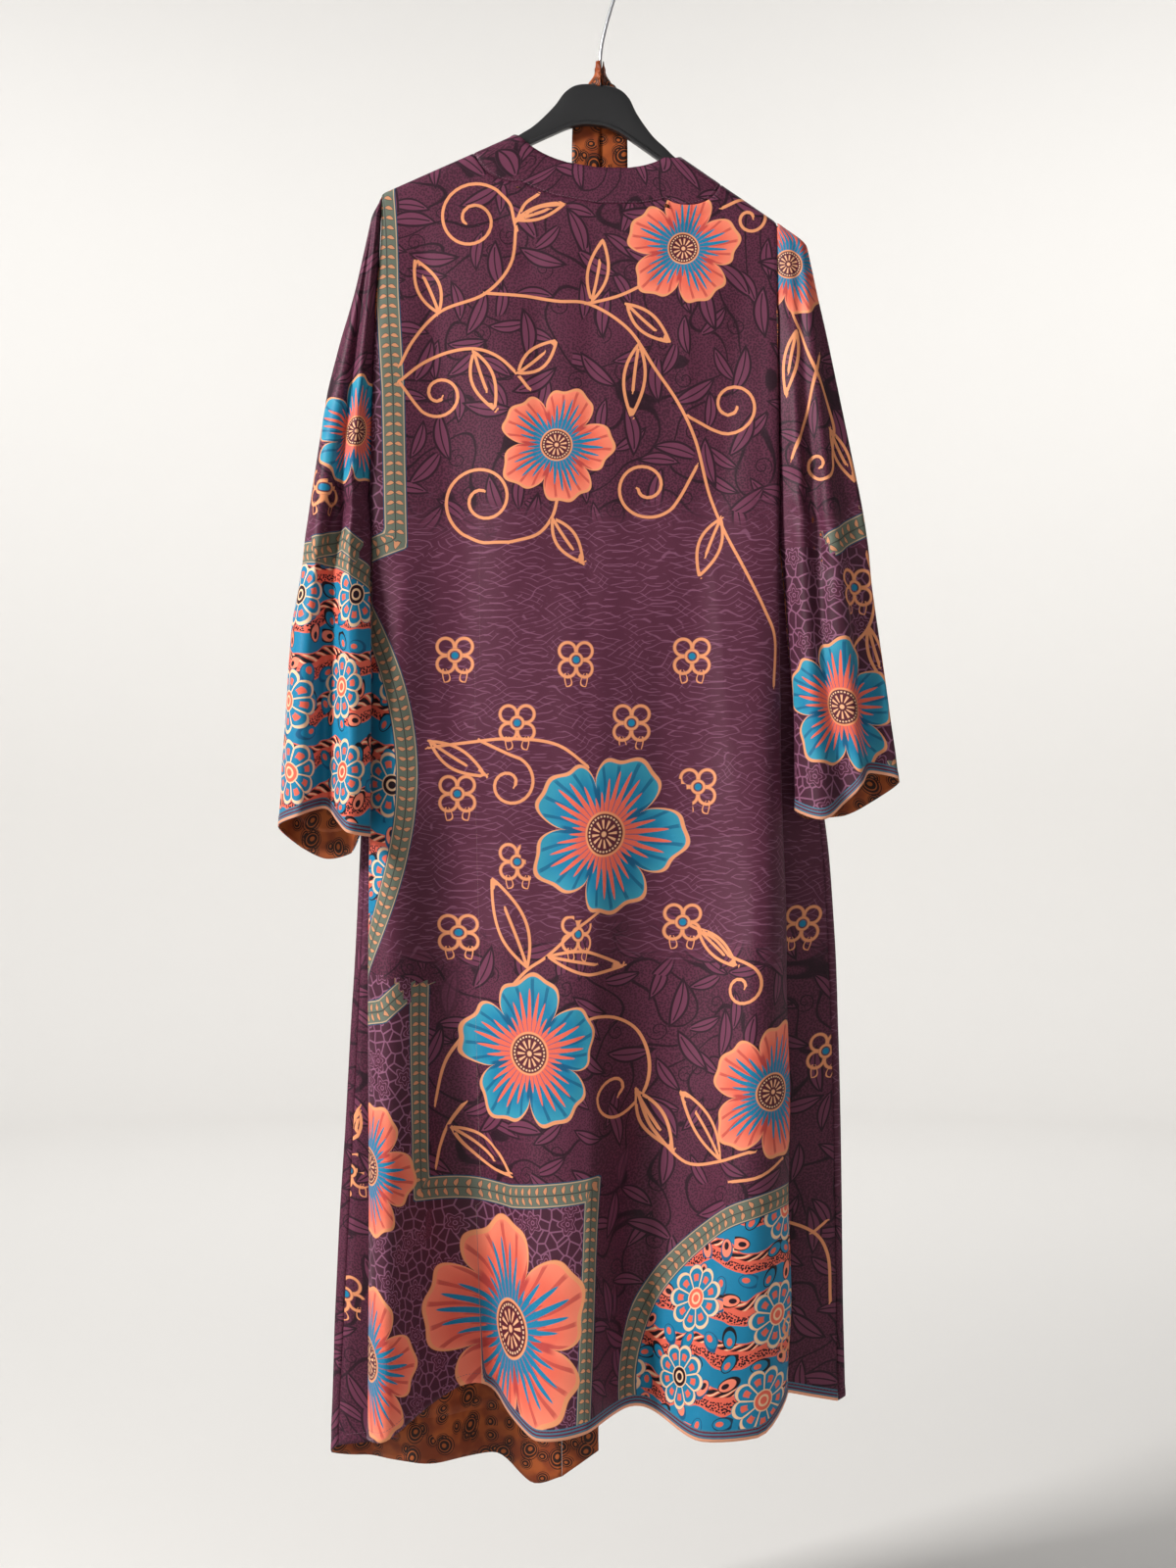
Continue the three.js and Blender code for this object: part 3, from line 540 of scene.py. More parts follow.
# How high the ripples are, in mm.
RIPPLE = {"back": 1.1, "front_left": 1.0, "front_right": 1.0, "sleeve_left": 1.2, "sleeve_right": 1.2}


def edge_distances(points):
    """How far each point lies from the piece's own left, right, top and bottom edges."""
    side = np.linalg.norm(np.diff(points, axis=1), axis=-1)
    down = np.linalg.norm(np.diff(points, axis=0), axis=-1)
    from_left = np.concatenate([np.zeros((len(points), 1)), np.cumsum(side, axis=1)], axis=1)
    from_top = np.concatenate([np.zeros((1, points.shape[1])), np.cumsum(down, axis=0)])
    return from_left, from_left[:, -1:] - from_left, from_top, from_top[-1:] - from_top


cloth = {}
for seed, (name, (points, cut)) in enumerate(grids.items()):
    n = normals(points) * OUTWARD[name]
    x, z = points[..., 0], points[..., 2]
    left, right, top, bottom = edge_distances(points)
    sewn = np.minimum(np.minimum(left, right), top)
    move = crease_depth(CREASES.get(name, []), x, z) * smoothstep(sewn, 2, 25)
    if name.startswith("front"):
        move -= 0.6 * np.minimum(crease_depth(CREASES["back"], x, z), 0) * smoothstep(sewn, 2, 45)
    if name in RIPPLE:
        below = smoothstep(-z, 330, 900)
        move += ripples(cut, -z, seed, RIPPLE[name]) * lerp(0.35, 1, below) * smoothstep(sewn, 4, 60)
    groove = -0.7 * np.exp(-((sewn / 2.4) ** 2))
    hem = 0.45 * (1 - smoothstep(bottom, 8, 10)) if name != "neck_band" else 0
    outer = points + n * (move + groove + hem)[..., None]
    cloth[name] = {"outer": outer, "n": normals(outer) * OUTWARD[name], "u": cut, "v": -z, "hem": bottom}
print("deepest crease", round(float(np.abs(move).max()), 2), "mm")

# %% [markdown]
# ## Where the print lies
# The big flowers, the stems, the borders and the two round panels are large, single motifs. They are placed on
# the hung cloth and carried over to the flat cut. Each point of the cloth then stores where it lies in its
# nearest flower's own square, how far it is from the nearest stem and from the nearest border. Those change
# evenly over the cloth, so the material can draw crisp shapes from them on a coarse grid.

# %% Motif tables, in mm on the hung cloth
CORAL_FLOWER, TEAL_FLOWER, SPRIG = 1, 2, 3
#   piece: (x, z, radius, turn in degrees, kind)
FLOWERS = {
    "back": [
        (85, -300, 62, 8, CORAL_FLOWER),
        (-44, -500, 63, 20, CORAL_FLOWER),
        (5, -896, 88, 24, TEAL_FLOWER),
        (-72, -1118, 84, 0, TEAL_FLOWER),
        (175, -1155, 74, 10, CORAL_FLOWER),
        (-93, -1400, 118, -8, CORAL_FLOWER),
        (-238, -1233, 74, 30, CORAL_FLOWER),
        (-236, -1427, 84, 22, CORAL_FLOWER),
    ],
    "sleeve_right": [(192, -317, 56, 12, CORAL_FLOWER), (244, -767, 74, 6, TEAL_FLOWER)],
    "sleeve_left": [(-220, -488, 60, 0, TEAL_FLOWER)],
}
SPRIG_RADIUS = 25
#   piece: (x, z) of each sprig
SPRIGS = {
    "back": [(-148, -714), (-24, -719), (94, -715), (-84, -783), (32, -783), (-145, -855), (100, -848),
             (-84, -924), (-144, -997), (-22, -997), (85, -986), (210, -989), (234, -1121), (196, -1401),
             (-260, -1243), (-264, -1371)],
    "sleeve_left": [(-267, -470), (-282, -545)],
    "sleeve_right": [(260, -645)],
}
#   piece: lists of points that a stem runs through
STEMS = {
    "back": [
        [(-203, -419), (-190, -394), (-164, -365), (-116, -346), (-91, -317), (-85, -273)],
        [(-116, -346), (-75, -349), (-43, -354), (-12, -356), (28, -381), (57, -423), (79, -455), (97, -493),
         (112, -551), (127, -588), (146, -625), (168, -669), (178, -695), (177, -745)],
        [(-203, -435), (-180, -416), (-155, -405), (-126, -402), (-104, -410), (-85, -427), (-72, -443)],
        [(-12, -356), (20, -348), (52, -333)],
        [(-85, -273), (-76, -255), (-62, -245)],
        [(-85, -273), (-64, -259), (-35, -255)],
        [(-43, -553), (-48, -572), (-62, -590), (-91, -599)],
        [(-174, -808), (-136, -803), (-92, -799), (-44, -805), (-12, -827)],
        [(-91, -1052), (-73, -1033), (-54, -1020), (-24, -992), (0, -975)],
        [(-139, -1104), (-159, -1130), (-168, -1173)],
        [(-139, -1173), (-159, -1201), (-167, -1238)],
        [(-20, -1086), (0, -1081), (18, -1083), (36, -1094), (48, -1115), (50, -1140), (43, -1162),
         (28, -1178), (13, -1183), (2, -1176), (-1, -1162), (7, -1148), (19, -1144), (25, -1152), (20, -1161)],
        [(92, -989), (116, -1003), (130, -1019)],
        [(38, -1157), (54, -1199), (87, -1231), (120, -1226), (153, -1213)],
        [(130, -1245), (158, -1239), (186, -1223)],
        [(194, -1281), (218, -1307), (236, -1329), (240, -1380)],
        [(221, -1309), (236, -1297)],
        [(-248, -1177), (-256, -1195), (-260, -1217)],
    ],
    "sleeve_right": [
        [(194, -363), (210, -405), (232, -455), (239, -485), (238, -497)],
        [(224, -410), (210, -465), (194, -515)],
        [(272, -611), (280, -645), (274, -685), (260, -709)],
        [(256, -821), (268, -785), (281, -735)],
    ],
}
#   piece: (x, z of the middle), radius, turns, way it winds seen on the cloth, (x, z that it grows from)
SPIRALS = {
    "back": [
        ((-130, -271), 42, 1.5, 1, (-85, -281)),
        ((-164, -447), 27, 1.3, 1, (-203, -437)),
        ((-119, -555), 44, 1.5, -1, (-91, -599)),
        ((152, -270), 22, 1.25, -1, (125, -259)),
        ((134, -459), 32, 1.3, 1, (91, -471)),
        ((46, -542), 37, 1.4, -1, (99, -521)),
        ((-92, -845), 30, 1.3, -1, (-122, -801)),
        ((141, -1050), 25, 1.2, -1, (130, -1019)),
    ],
    "sleeve_right": [((221, -521), 20, 1.2, -1, (238, -491))],
}
#   piece: (x, z of the foot, x, z of the tip, width)
LEAVES = {
    "back": [
        ((-164, -365), (-188, -311), 26), ((-128, -405), (-107, -464), 26), ((-83, -427), (-44, -394), 24),
        ((-48, -575), (-17, -620), 24), ((-85, -271), (-35, -254), 14), ((-8, -353), (3, -291), 24),
        ((28, -357), (71, -395), 22), ((40, -397), (32, -471), 24), ((123, -575), (101, -633), 26),
        ((-172, -802), (-116, -837), 24), ((-74, -1031), (-110, -941), 34), ((-52, -1020), (24, -1030), 26),
        ((-153, -1198), (-92, -1244), 26), ((100, -993), (137, -1029), 20), ((38, -1159), (74, -1219), 24),
        ((120, -1224), (82, -1158), 25), ((-248, -1183), (-254, -1213), 10),
    ],
    "sleeve_right": [((200, -385), (188, -449), 16), ((236, -485), (260, -537), 16),
                     ((274, -685), (293, -745), 16)],
}
#   piece: lists of corners of a border
BORDERS = {
    "back": [
        [(-222, -195), (-220, -250), (-210, -445), (-207, -597), (-238, -609)],
        [(-252, -1087), (-222, -1075), (-197, -1055)],
        [(-182, -1045), (-181, -1258), (-92, -1265), (-6, -1253), (-9, -1345), (-12, -1520)],
    ],
    "sleeve_right": [[(229, -605), (250, -593), (274, -579)], [(302, -817), (310, -945)]],
    "sleeve_left": [[(-312, -607), (-267, -597), (-234, -611)]],
}
#   piece: (x, z, radius) of the round panels, which are scaled to a radius of 200
ROUNDS = {
    "back": [(-509, -834, 330), (178, -1445, 196)],
    "sleeve_left": [(-292, -835, 236)],
}


def lay_on(piece, x, z):
    """The place on the flat cut of what is seen at x, z on the hung cloth."""
    p = piece["outer"]
    gap = np.hypot(p[..., 0] - x, p[..., 2] - z)
    near = gap < gap.min() + 5  # of the layers there, the one nearest to the viewer counts
    k = np.argmin(np.where(near, p[..., 1], np.inf))
    flat = lambda key: piece[key].ravel()[k]
    return np.array([flat("u") + x - p[..., 0].ravel()[k], flat("v") - z + p[..., 2].ravel()[k]])


def smooth_line(points, step=4.0):
    points = np.asarray(points, float)
    if len(points) < 3:
        return points
    count = int(np.linalg.norm(np.diff(points, axis=0), axis=1).sum() / step) + 2
    s = np.linspace(0, 1, count)
    knots = np.broadcast_to(points[:, :, None], (*points.shape, count))
    return through(knots, s).T


def spiral_line(centre, radius, turns, way, root):
    """Winds in from where it leaves its stem, first to its rim and then to a fifth of its radius."""
    t = np.linspace(0, 1, 60)
    start = math.atan2(centre[1] - root[1], root[0] - centre[0]) + way * 0.6
    angle = start + way * 2 * math.pi * turns * t
    r = radius * (1 - 0.8 * t**0.85)
    turns = np.stack([centre[0] + r * np.cos(angle), centre[1] - r * np.sin(angle)], -1)
    return np.concatenate([smooth_line([root, (root + turns[0]) / 2, turns[0], turns[3]])[:-1], turns[3:]])


def leaf_lines(foot, tip, width):
    foot, tip = np.asarray(foot, float), np.asarray(tip, float)
    along, t = tip - foot, np.linspace(0, 1, 18)[:, None]
    side = np.array([-along[1], along[0]]) / np.linalg.norm(along) * width
    bulge = np.sin(np.pi * t) ** 0.9 * (1 - 0.25 * t)
    rib = foot + along * t
    rim = np.concatenate([rib + side * bulge * 0.55, (rib - side * bulge * 0.45)[-2::-1]])
    return [rim, rib[:12] + side * 0.06 * bulge[:12]]


def from_line(uv, line, mitred=False, segment=None):
    """For each place, the signed and the plain distance to the line, the distance along it and the segment that
    is nearest. With segment given, only the few segments round that one count."""
    a, d = line[:-1], np.diff(line, axis=0)
    size = np.linalg.norm(d, axis=1)
    run = np.concatenate([[0], np.cumsum(size)])[:-1]
    use = np.broadcast_to(np.arange(len(d)), (len(uv), len(d)))
    if segment is not None and len(d) > 9:
        use = np.clip(segment[:, None] + np.arange(-4, 5), 0, len(d) - 1)
    a, d, size, run = a[use], d[use], size[use], run[use]
    p = uv[:, None] - a
    t = (p * d).sum(-1) / size**2
    held = np.clip(t, 0, 1)
    gap = np.linalg.norm(p - held[..., None] * d, axis=-1)
    off = (d[..., 0] * p[..., 1] - d[..., 1] * p[..., 0]) / size
    i, k = np.arange(len(uv)), gap.argmin(1)
    plain, sign, along = gap[i, k], np.sign(off[i, k]), run[i, k] + held[i, k] * size[i, k]
    if mitred:  # at a corner the two sides run on until they meet
        last = gap.shape[1] - 1
        inner = ((t[i, k] < 0) & (k > 0)) | ((t[i, k] > 1) & (k < last))
        other = np.where(t[i, k] < 0, k - 1, np.minimum(k + 1, last))
        plain = np.where(inner, np.maximum(abs(off[i, k]), abs(off[i, other])), plain)
        past = (t[i, k] * size[i, k] < -0.5) | ((t[i, k] - 1) * size[i, k] > 0.5)
        past &= ~inner  # beyond either end, which is cut square
        plain, sign = np.where(past, 99, plain), np.where(past, 1, sign)
    return np.stack([sign * plain, plain, along], -1), use[i, k]


def corner_lines(uv, faces, lines, half, count=1, mitred=False):
    """The places beside the nearest lines, at each corner of each face. A face asks for its own nearest
    lines, so that no two lines blur together inside it."""
    if not lines:
        return [np.full((*faces.shape, 3), 99.0)] * count
    middle = uv[faces].mean(1)
    measured = [from_line(middle, line) for line in lines]
    gaps = np.stack([values[:, 1] for values, _ in measured])
    found = []
    for nearest in np.argsort(gaps, axis=0)[:count]:
        values = np.full((*faces.shape, 3), 99.0)
        for i in range(len(lines)):
            own = (nearest == i) & (gaps[i] < half + 6)
            if own.any():
                segment = np.repeat(measured[i][1][own], 4)
                found_there, _ = from_line(uv[faces[own]].reshape(-1, 2), lines[i], mitred, segment)
                values[own] = found_there.reshape(-1, 4, 3)
        values[..., 0] /= half
        found.append(values)
    return found


STEM_HALF = 1.55  # mm


def print_places(name, piece):
    """What the print's material reads, at each point of a piece."""
    uv = np.stack([piece["u"], piece["v"]], -1).reshape(-1, 2)
    lay = lambda p: lay_on(piece, *p)
    n = len(uv)
    spots = []
    knots = [(*p, SPRIG_RADIUS, 0, SPRIG) for p in SPRIGS.get(name, [])]
    for x, z, radius, turn, kind in [*FLOWERS.get(name, []), *knots]:
        spots.append((lay((x, z)), radius, turn, kind))
    lines = [smooth_line([lay(p) for p in stem]) for stem in STEMS.get(name, [])]
    lines += [spiral_line(lay(c), *rest, lay(root)) for c, *rest, root in SPIRALS.get(name, [])]
    for foot, tip, width in LEAVES.get(name, []):
        lines += leaf_lines(lay(foot), lay(tip), width)
    borders = [np.array([lay(p) for p in line]) for line in BORDERS.get(name, [])]
    rounds = [(lay((x, z)), radius, 0, radius / 200) for x, z, radius in ROUNDS.get(name, [])]
    x, z = piece["outer"][..., 0].ravel(), piece["outer"][..., 2].ravel()
    # Beyond the robe's folded edges, where the back turns away to its side seams, it has no big motifs.
    behind = (name == "back") & (piece["outer"][..., 1].ravel() > 6) & (abs(x + 25) > 150)
    trimmed = x > -122 if name == "back" else name.startswith("sleeve")
    ground = np.column_stack([*grounds(name, x, z), piece["hem"].ravel() * trimmed])
    ground[:, 1] = np.where(behind, -50, ground[:, 1])
    return {"spots": spots, "rounds": rounds, "stems": lines, "borders": borders, "ground": ground,
            "behind": behind}


def grounds(name, x, z):
    """How far inside the veined ground and inside the dark lattice each point lies, in mm."""
    veined = np.minimum(-570 - z, z + 1010) / 2
    if name == "front_right":
        veined = np.minimum(-500 - z, z + 1260)
    corner = lambda right, top: np.minimum(right - x, top - z)
    lattice = np.full(len(x), -50.0)
    if name == "back":
        lattice = np.maximum.reduce([corner(-210, -1080), corner(-11, -1267),
                                     np.minimum(corner(-216, 0), z + 600)])
        lattice = np.where((x < -188) & (z < -1040), np.maximum(lattice, -188 - x), lattice)
    if name == "sleeve_right":
        lattice = -605 - z
    return veined, lattice


for name, piece in cloth.items():
    piece["places"] = print_places(name, piece)
print("motifs laid:", sum(len(p["places"]["spots"]) for p in cloth.values()))

# %% [markdown]
# ## Node graphs as plain maths
# The print is a long sum of shapes. Written node by node it would be unreadable, so a small class lets the
# shader's values be added, compared and mixed like numbers.

# %% A small language for shader values
def put(tree, socket, value):
    """Links a value or a socket to the socket, or sets it to a plain value."""
    value = value.socket if isinstance(value, Value) else value
    if isinstance(value, bpy.types.NodeSocket):
        tree.links.new(value, socket)
    else:
        socket.default_value = value


def add_node(tree, kind, settings=None, inputs=None):
    made = tree.nodes.new(kind)
    for key, value in (settings or {}).items():
        setattr(made, key, value)
    for key, value in (inputs or {}).items():
        put(tree, made.inputs[key], value)
    return made


class Value:
    """A number in a material's graph."""

    def __init__(self, graph, socket):
        self.graph, self.socket = graph, socket

    def op(self, name, *others):
        return self.graph.math(name, self, *others)

    __add__ = __radd__ = lambda self, other: self.op("ADD", other)
    __mul__ = __rmul__ = lambda self, other: self.op("MULTIPLY", other)
    __sub__ = lambda self, other: self.op("SUBTRACT", other)
    __rsub__ = lambda self, other: self.graph.math("SUBTRACT", other, self)
    __truediv__ = lambda self, other: self.op("DIVIDE", other)
    __rtruediv__ = lambda self, other: self.graph.math("DIVIDE", other, self)
    __pow__ = lambda self, other: self.op("POWER", other)
    __abs__ = lambda self: self.op("ABSOLUTE")
    __gt__ = lambda self, other: self.op("GREATER_THAN", other)
    __lt__ = lambda self, other: self.op("LESS_THAN", other)
    __or__ = lambda self, other: self.op("MAXIMUM", other)

    def step(self, at, soft):
        """0 below at and 1 above it, over a width of soft; soft may be negative for the other way round."""
        return self.graph.ramp(self, at - abs(soft) / 2, at + abs(soft) / 2, soft < 0)

    def line(self, half, soft):
        """1 where the value is within half of zero."""
        return abs(self).step(half, -soft)


class Graph:
    """The nodes of one material."""

    def __init__(self, name):
        self.material = bpy.data.materials.new(name)
        self.material.use_nodes = True
        self.tree = self.material.node_tree
        self.tree.nodes.clear()

    def node(self, kind, settings=None, inputs=None):
        return add_node(self.tree, "ShaderNode" + kind, settings, inputs)

    def math(self, op, *values):
        return Value(self, self.node("Math", {"operation": op}, dict(enumerate(values))).outputs[0])

    def ramp(self, value, low, high, flip=False):
        ends = {3: 1.0, 4: 0.0} if flip else {3: 0.0, 4: 1.0}
        ends.update({0: value, 1: low, 2: high})
        made = self.node("MapRange", {"interpolation_type": "SMOOTHSTEP"}, ends)
        return Value(self, made.outputs[0])

    def vector(self, op, *values):
        return self.node("VectorMath", {"operation": op}, dict(enumerate(values))).outputs[0]

    def attribute(self, name):
        return self.node("Attribute", {"attribute_name": name}).outputs["Vector"]

    def parts(self, vector):
        made = self.node("SeparateXYZ", None, {0: vector})
        return [Value(self, made.outputs[i]) for i in range(3)]

    def mix(self, share, a, b):
        """Colour a with colour b laid over it where share is 1."""
        return self.node("Mix", {"data_type": "RGBA"}, {0: share, 6: a, 7: b}).outputs[2]

    def noise(self, vector, scale, detail=2.0):
        made = self.node("TexNoise", None, {"Vector": vector, "Scale": scale, "Detail": detail})
        return Value(self, made.outputs[0])

    def cells(self, vector, scale, feature="F1", uneven=1.0):
        """A Voronoi pattern in 2D, with the distance, the colour and each cell's own middle."""
        settings = {"voronoi_dimensions": "2D", "feature": feature}
        return self.node("TexVoronoi", settings, {"Vector": vector, "Scale": scale, "Randomness": uneven})

    def cloth_surface(self, colour, height):
        shader = self.node("BsdfPrincipled", None, {
            "Base Color": colour, "Roughness": height * 0.06 + 0.5,
            "Sheen Weight": 0.06, "Sheen Roughness": 0.35, "Specular IOR Level": 0.24,
        })
        self.finish(shader, height, 0.5, 0.0003)

    def finish(self, shader, height, strength, distance):
        """Bends the shader's normals by height and makes it the material's surface."""
        bump = self.node("Bump", None, {"Strength": strength, "Distance": distance, "Height": height})
        put(self.tree, shader.inputs["Normal"], bump.outputs[0])
        put(self.tree, self.node("OutputMaterial").inputs[0], shader.outputs[0])


def rgb(red, green, blue):
    """A screen colour, 0 to 255, as the linear colour that a shader takes."""
    screen = [c / 255 for c in (red, green, blue)]
    return (*[((c + 0.055) / 1.055) ** 2.4 if c > 0.04 else c / 12.92 for c in screen], 1.0)


def tint(a, b, share):
    return tuple(lerp(np.array(a), np.array(b), share))


PLUM, DARK, LEAF, VEIN = rgb(88, 38, 60), rgb(34, 11, 25), rgb(104, 50, 74), rgb(144, 92, 120)
CORAL, CORAL_LIGHT = rgb(222, 98, 78), rgb(236, 128, 102)
TEAL, TEAL_LIGHT, TEAL_DARK = rgb(18, 118, 156), rgb(48, 142, 168), rgb(12, 84, 122)
SAND, CREAM, BLACK, BORDER = rgb(224, 146, 102), rgb(232, 188, 150), rgb(22, 14, 22), rgb(96, 104, 92)
RUST, RUST_LIGHT, BROWN = rgb(122, 52, 22), rgb(160, 80, 34), rgb(36, 16, 11)

# %% [markdown]
# ## The print
# Each layer is drawn over the last: the grounds, the round panels, the borders, the stems, the small sprigs and
# the flowers. The small repeats are charted in the square of one repeat, and the shader lays them out in
# scattered cells, each turned its own way, as a block printer would turn a block.

# %% Small shapes
sine, cosine, root, fract = (lambda v, kind=kind: v.op(kind) for kind in ("SINE", "COSINE", "SQRT", "FRACT"))


def polar(x, y):
    """The angle from x and the distance from 0, 0."""
    return y.op("ARCTAN2", x), root(x * x + y * y)


def turned(x, y, angle):
    """x, y seen from axes turned by angle."""
    c, s = cosine(angle), sine(angle)
    return c * x + s * y, c * y - s * x


def own_cell(g, place, scale, uneven=1.0):
    """The place in its own scattered cell, in mm and turned at random, and two numbers that each cell has."""
    found = g.cells(place, scale, uneven=uneven)
    x, y, _ = g.parts(g.vector("SUBTRACT", place, found.outputs["Position"]))
    first, second, _ = g.parts(found.outputs["Color"])
    return *turned(x, y, first * TURN), first, second


def leaf_shape(x, y, length, width):
    """0 on a leaf's middle, 1 on its edge and more outside; the leaf lies along x."""
    t = x / length
    bend = t * t * (width * 0.5) - width * 0.15
    return abs(y - bend) / width + t * t


def leafy_ground(g, mm):
    """Plum leaves with dark edges on a stippled ground, with dark stems and curls between them."""
    dots = Value(g, g.cells(mm, 0.42).outputs["Distance"])
    cloud = g.noise(mm, 0.012)
    stipple = (dots + cloud * 0.5).step(0.66, -0.16)
    colour = g.mix(stipple * 0.7, PLUM, tint(PLUM, DARK, 0.8))
    wander = g.noise(mm, 0.009, 1.0)
    stems = (fract(wander * 8) - 0.5).line(0.05, 0.04)
    colour = g.mix(stems * 0.9, colour, DARK)
    x, y, *_ = own_cell(g, mm, 0.017, 0.9)
    angle, away = polar(x, y)
    curl = (fract(away / 6.5 - angle / TURN + 4) - 0.5).line(0.09, 0.06) * away.step(10.5, -0.5)
    colour = g.mix(curl * away.step(1.6, 0.5) * 0.9, colour, DARK)
    for scale, length, width in ((0.0235, 22, 7), (0.0185, 27, 8.5)):
        x, y, first, _ = own_cell(g, mm, scale, 0.85)
        edge = leaf_shape(x, y, length, width)
        inside = edge.step(1.0, -0.08) * first.step(0.78, -0.01)  # about a fifth of the cells stay bare
        rib = y - (x / length) ** 2 * (width * 0.5) + width * 0.15
        marks = (edge - 0.91).line(0.2, 0.08) | rib.line(0.7, 0.5) * (x < length * 0.7)
        colour = g.mix(inside, colour, LEAF)
        colour = g.mix(marks * inside * 0.95, colour, DARK)
    return colour


def veined_ground(g, mm):
    """Fine light lines that run across the cloth and fork like the barbs of a feather."""
    x, y, _ = g.parts(mm)
    colour = tint(PLUM, DARK, 0.2)
    bend = g.noise(mm, 0.016, 2.0) * 7
    for slope, pitch, seed in ((0.32, 6.5, 3.0), (-0.3, 7.5, 9.0)):
        lines = fract((y + x * slope) / pitch + bend * (1.2 if slope > 0 else -1.0) + seed * 10) - 0.5
        there = g.noise(g.vector("MULTIPLY", mm, (0.5, 1.3, 1.0)), 0.09 + seed * 0.002, 1.0).step(0.47, 0.08)
        colour = g.mix(lines.line(0.075, 0.08) * there * 0.55, colour, tint(PLUM, VEIN, 0.8))
    return colour


def lattice_ground(g, mm):
    """A dark ground with a light net, and small flowers drawn in outline."""
    net = Value(g, g.cells(mm, 0.085, "DISTANCE_TO_EDGE").outputs["Distance"]).step(0.07, -0.05)
    colour = g.mix(net * 0.7, tint(PLUM, DARK, 0.55), VEIN)
    x, y, *_ = own_cell(g, mm, 0.028, 0.7)
    angle, away = polar(x, y)
    bloom = away / (cosine(angle * 5) * 2.2 + 9.5)
    colour = g.mix(bloom.step(1.0, -0.06), colour, tint(PLUM, DARK, 0.35))
    rings = (bloom - 1).line(0.06, 0.05) | (bloom - 0.62).line(0.05, 0.05) | (away - 2).line(0.5, 0.4)
    return g.mix(rings * 0.75, colour, VEIN)


BORDER_HALF = 12.5  # mm


def border_strip(g, across, along):
    """A strip with thin edges, filled with pairs of slanting leaves, one pair every 10 mm."""
    t = fract(along / 10 + 100) - 0.5
    side = abs(across)
    leaf = leaf_shape(side * BORDER_HALF - 4.8, t * 10 - side * 3 + 1.6, 4.2, 2.1)
    colour = g.mix(leaf.step(1.18, -0.2), BORDER, tint(BORDER, DARK, 0.55))
    colour = g.mix(leaf.step(0.9, -0.2), colour, tint(SAND, BORDER, 0.3))
    colour = g.mix(side.step(0.05, -0.04), colour, tint(BORDER, DARK, 0.6))
    colour = g.mix((side - 0.86).line(0.04, 0.03), colour, tint(BORDER, CREAM, 0.5))
    return g.mix(side.step(0.93, 0.05), colour, tint(TEAL_DARK, DARK, 0.35))


def round_panel(g, x, y, size, mm):
    """Bold stripes, drops and rosettes of teal, coral and black in a round panel; x, y in radii."""
    turn, away = polar(x, y)
    px, py, _ = g.parts(mm)
    wave = sine(px / 13) * 5 + g.noise(mm, 0.02) * 26
    t = fract((py + wave) / 46 + 10)
    colour = g.mix(t.step(0.44, 0.012), TEAL, CORAL)
    fine = fract((py * 0.9 + px * 0.55 + wave) / 7.2 + 20)
    colour = g.mix((t - 0.56).line(0.09, 0.02) * fine.step(0.5, 0.16), colour, BLACK)
    colour = g.mix((t - 0.56).line(0.09, 0.02) * (fine - 0.2).line(0.12, 0.08), colour, CREAM)
    grain = Value(g, g.cells(mm, 0.42).outputs["Distance"]).step(0.42, -0.12)
    colour = g.mix((t - 0.86).line(0.1, 0.02) * grain, colour, DARK)
    cx, cy, first, second = own_cell(g, mm, 0.036, 0.55)
    drop = root((cx + cy * 0.1) ** 2 * 0.45 + cy**2) / (5.2 - cx * 0.22)
    colour = g.mix(drop.step(1.25, -0.06), colour, g.mix(first.step(0.5, 0.02), BLACK, TEAL_DARK))
    colour = g.mix(drop.step(1.02, -0.06), colour, g.mix(second.step(0.45, 0.02), CORAL_LIGHT, TEAL))
    colour = g.mix(drop.step(0.5, -0.08), colour, g.mix(second.step(0.45, 0.02), DARK, CORAL))
    rx, ry, first, _ = own_cell(g, mm, 0.0115, 0.35)
    angle, r = polar(rx, ry)
    petal = r / (abs(cosine(angle * 4.5)) ** 0.5 * 9 + 25)
    colour = g.mix(petal.step(1.0, -0.03), colour, TEAL)
    colour = g.mix((petal - 0.93).line(0.05, 0.03) | (cosine(angle * 9) * r + r).line(1.4, 1.0)
                   * petal.step(1.0, -0.03), colour, CREAM)
    colour = g.mix((petal - 0.62).line(0.1, 0.03) * cosine(angle * 9).step(0.2, 0.2), colour, CORAL)
    colour = g.mix(r.step(11, -0.6), colour, CREAM)
    colour = g.mix(r.step(9.6, -0.6), colour, g.mix(first.step(0.5, 0.1), DARK, CORAL))
    colour = g.mix((r - 5).line(1.1, 0.6), colour, CREAM)
    half = 0.057 / size
    rim = border_strip(g, (away - 1) / half + 1, turn * size * 190)
    return g.mix((away + half * 2).step(1.0, 0.004), colour, rim), away.step(1.0, -0.004)


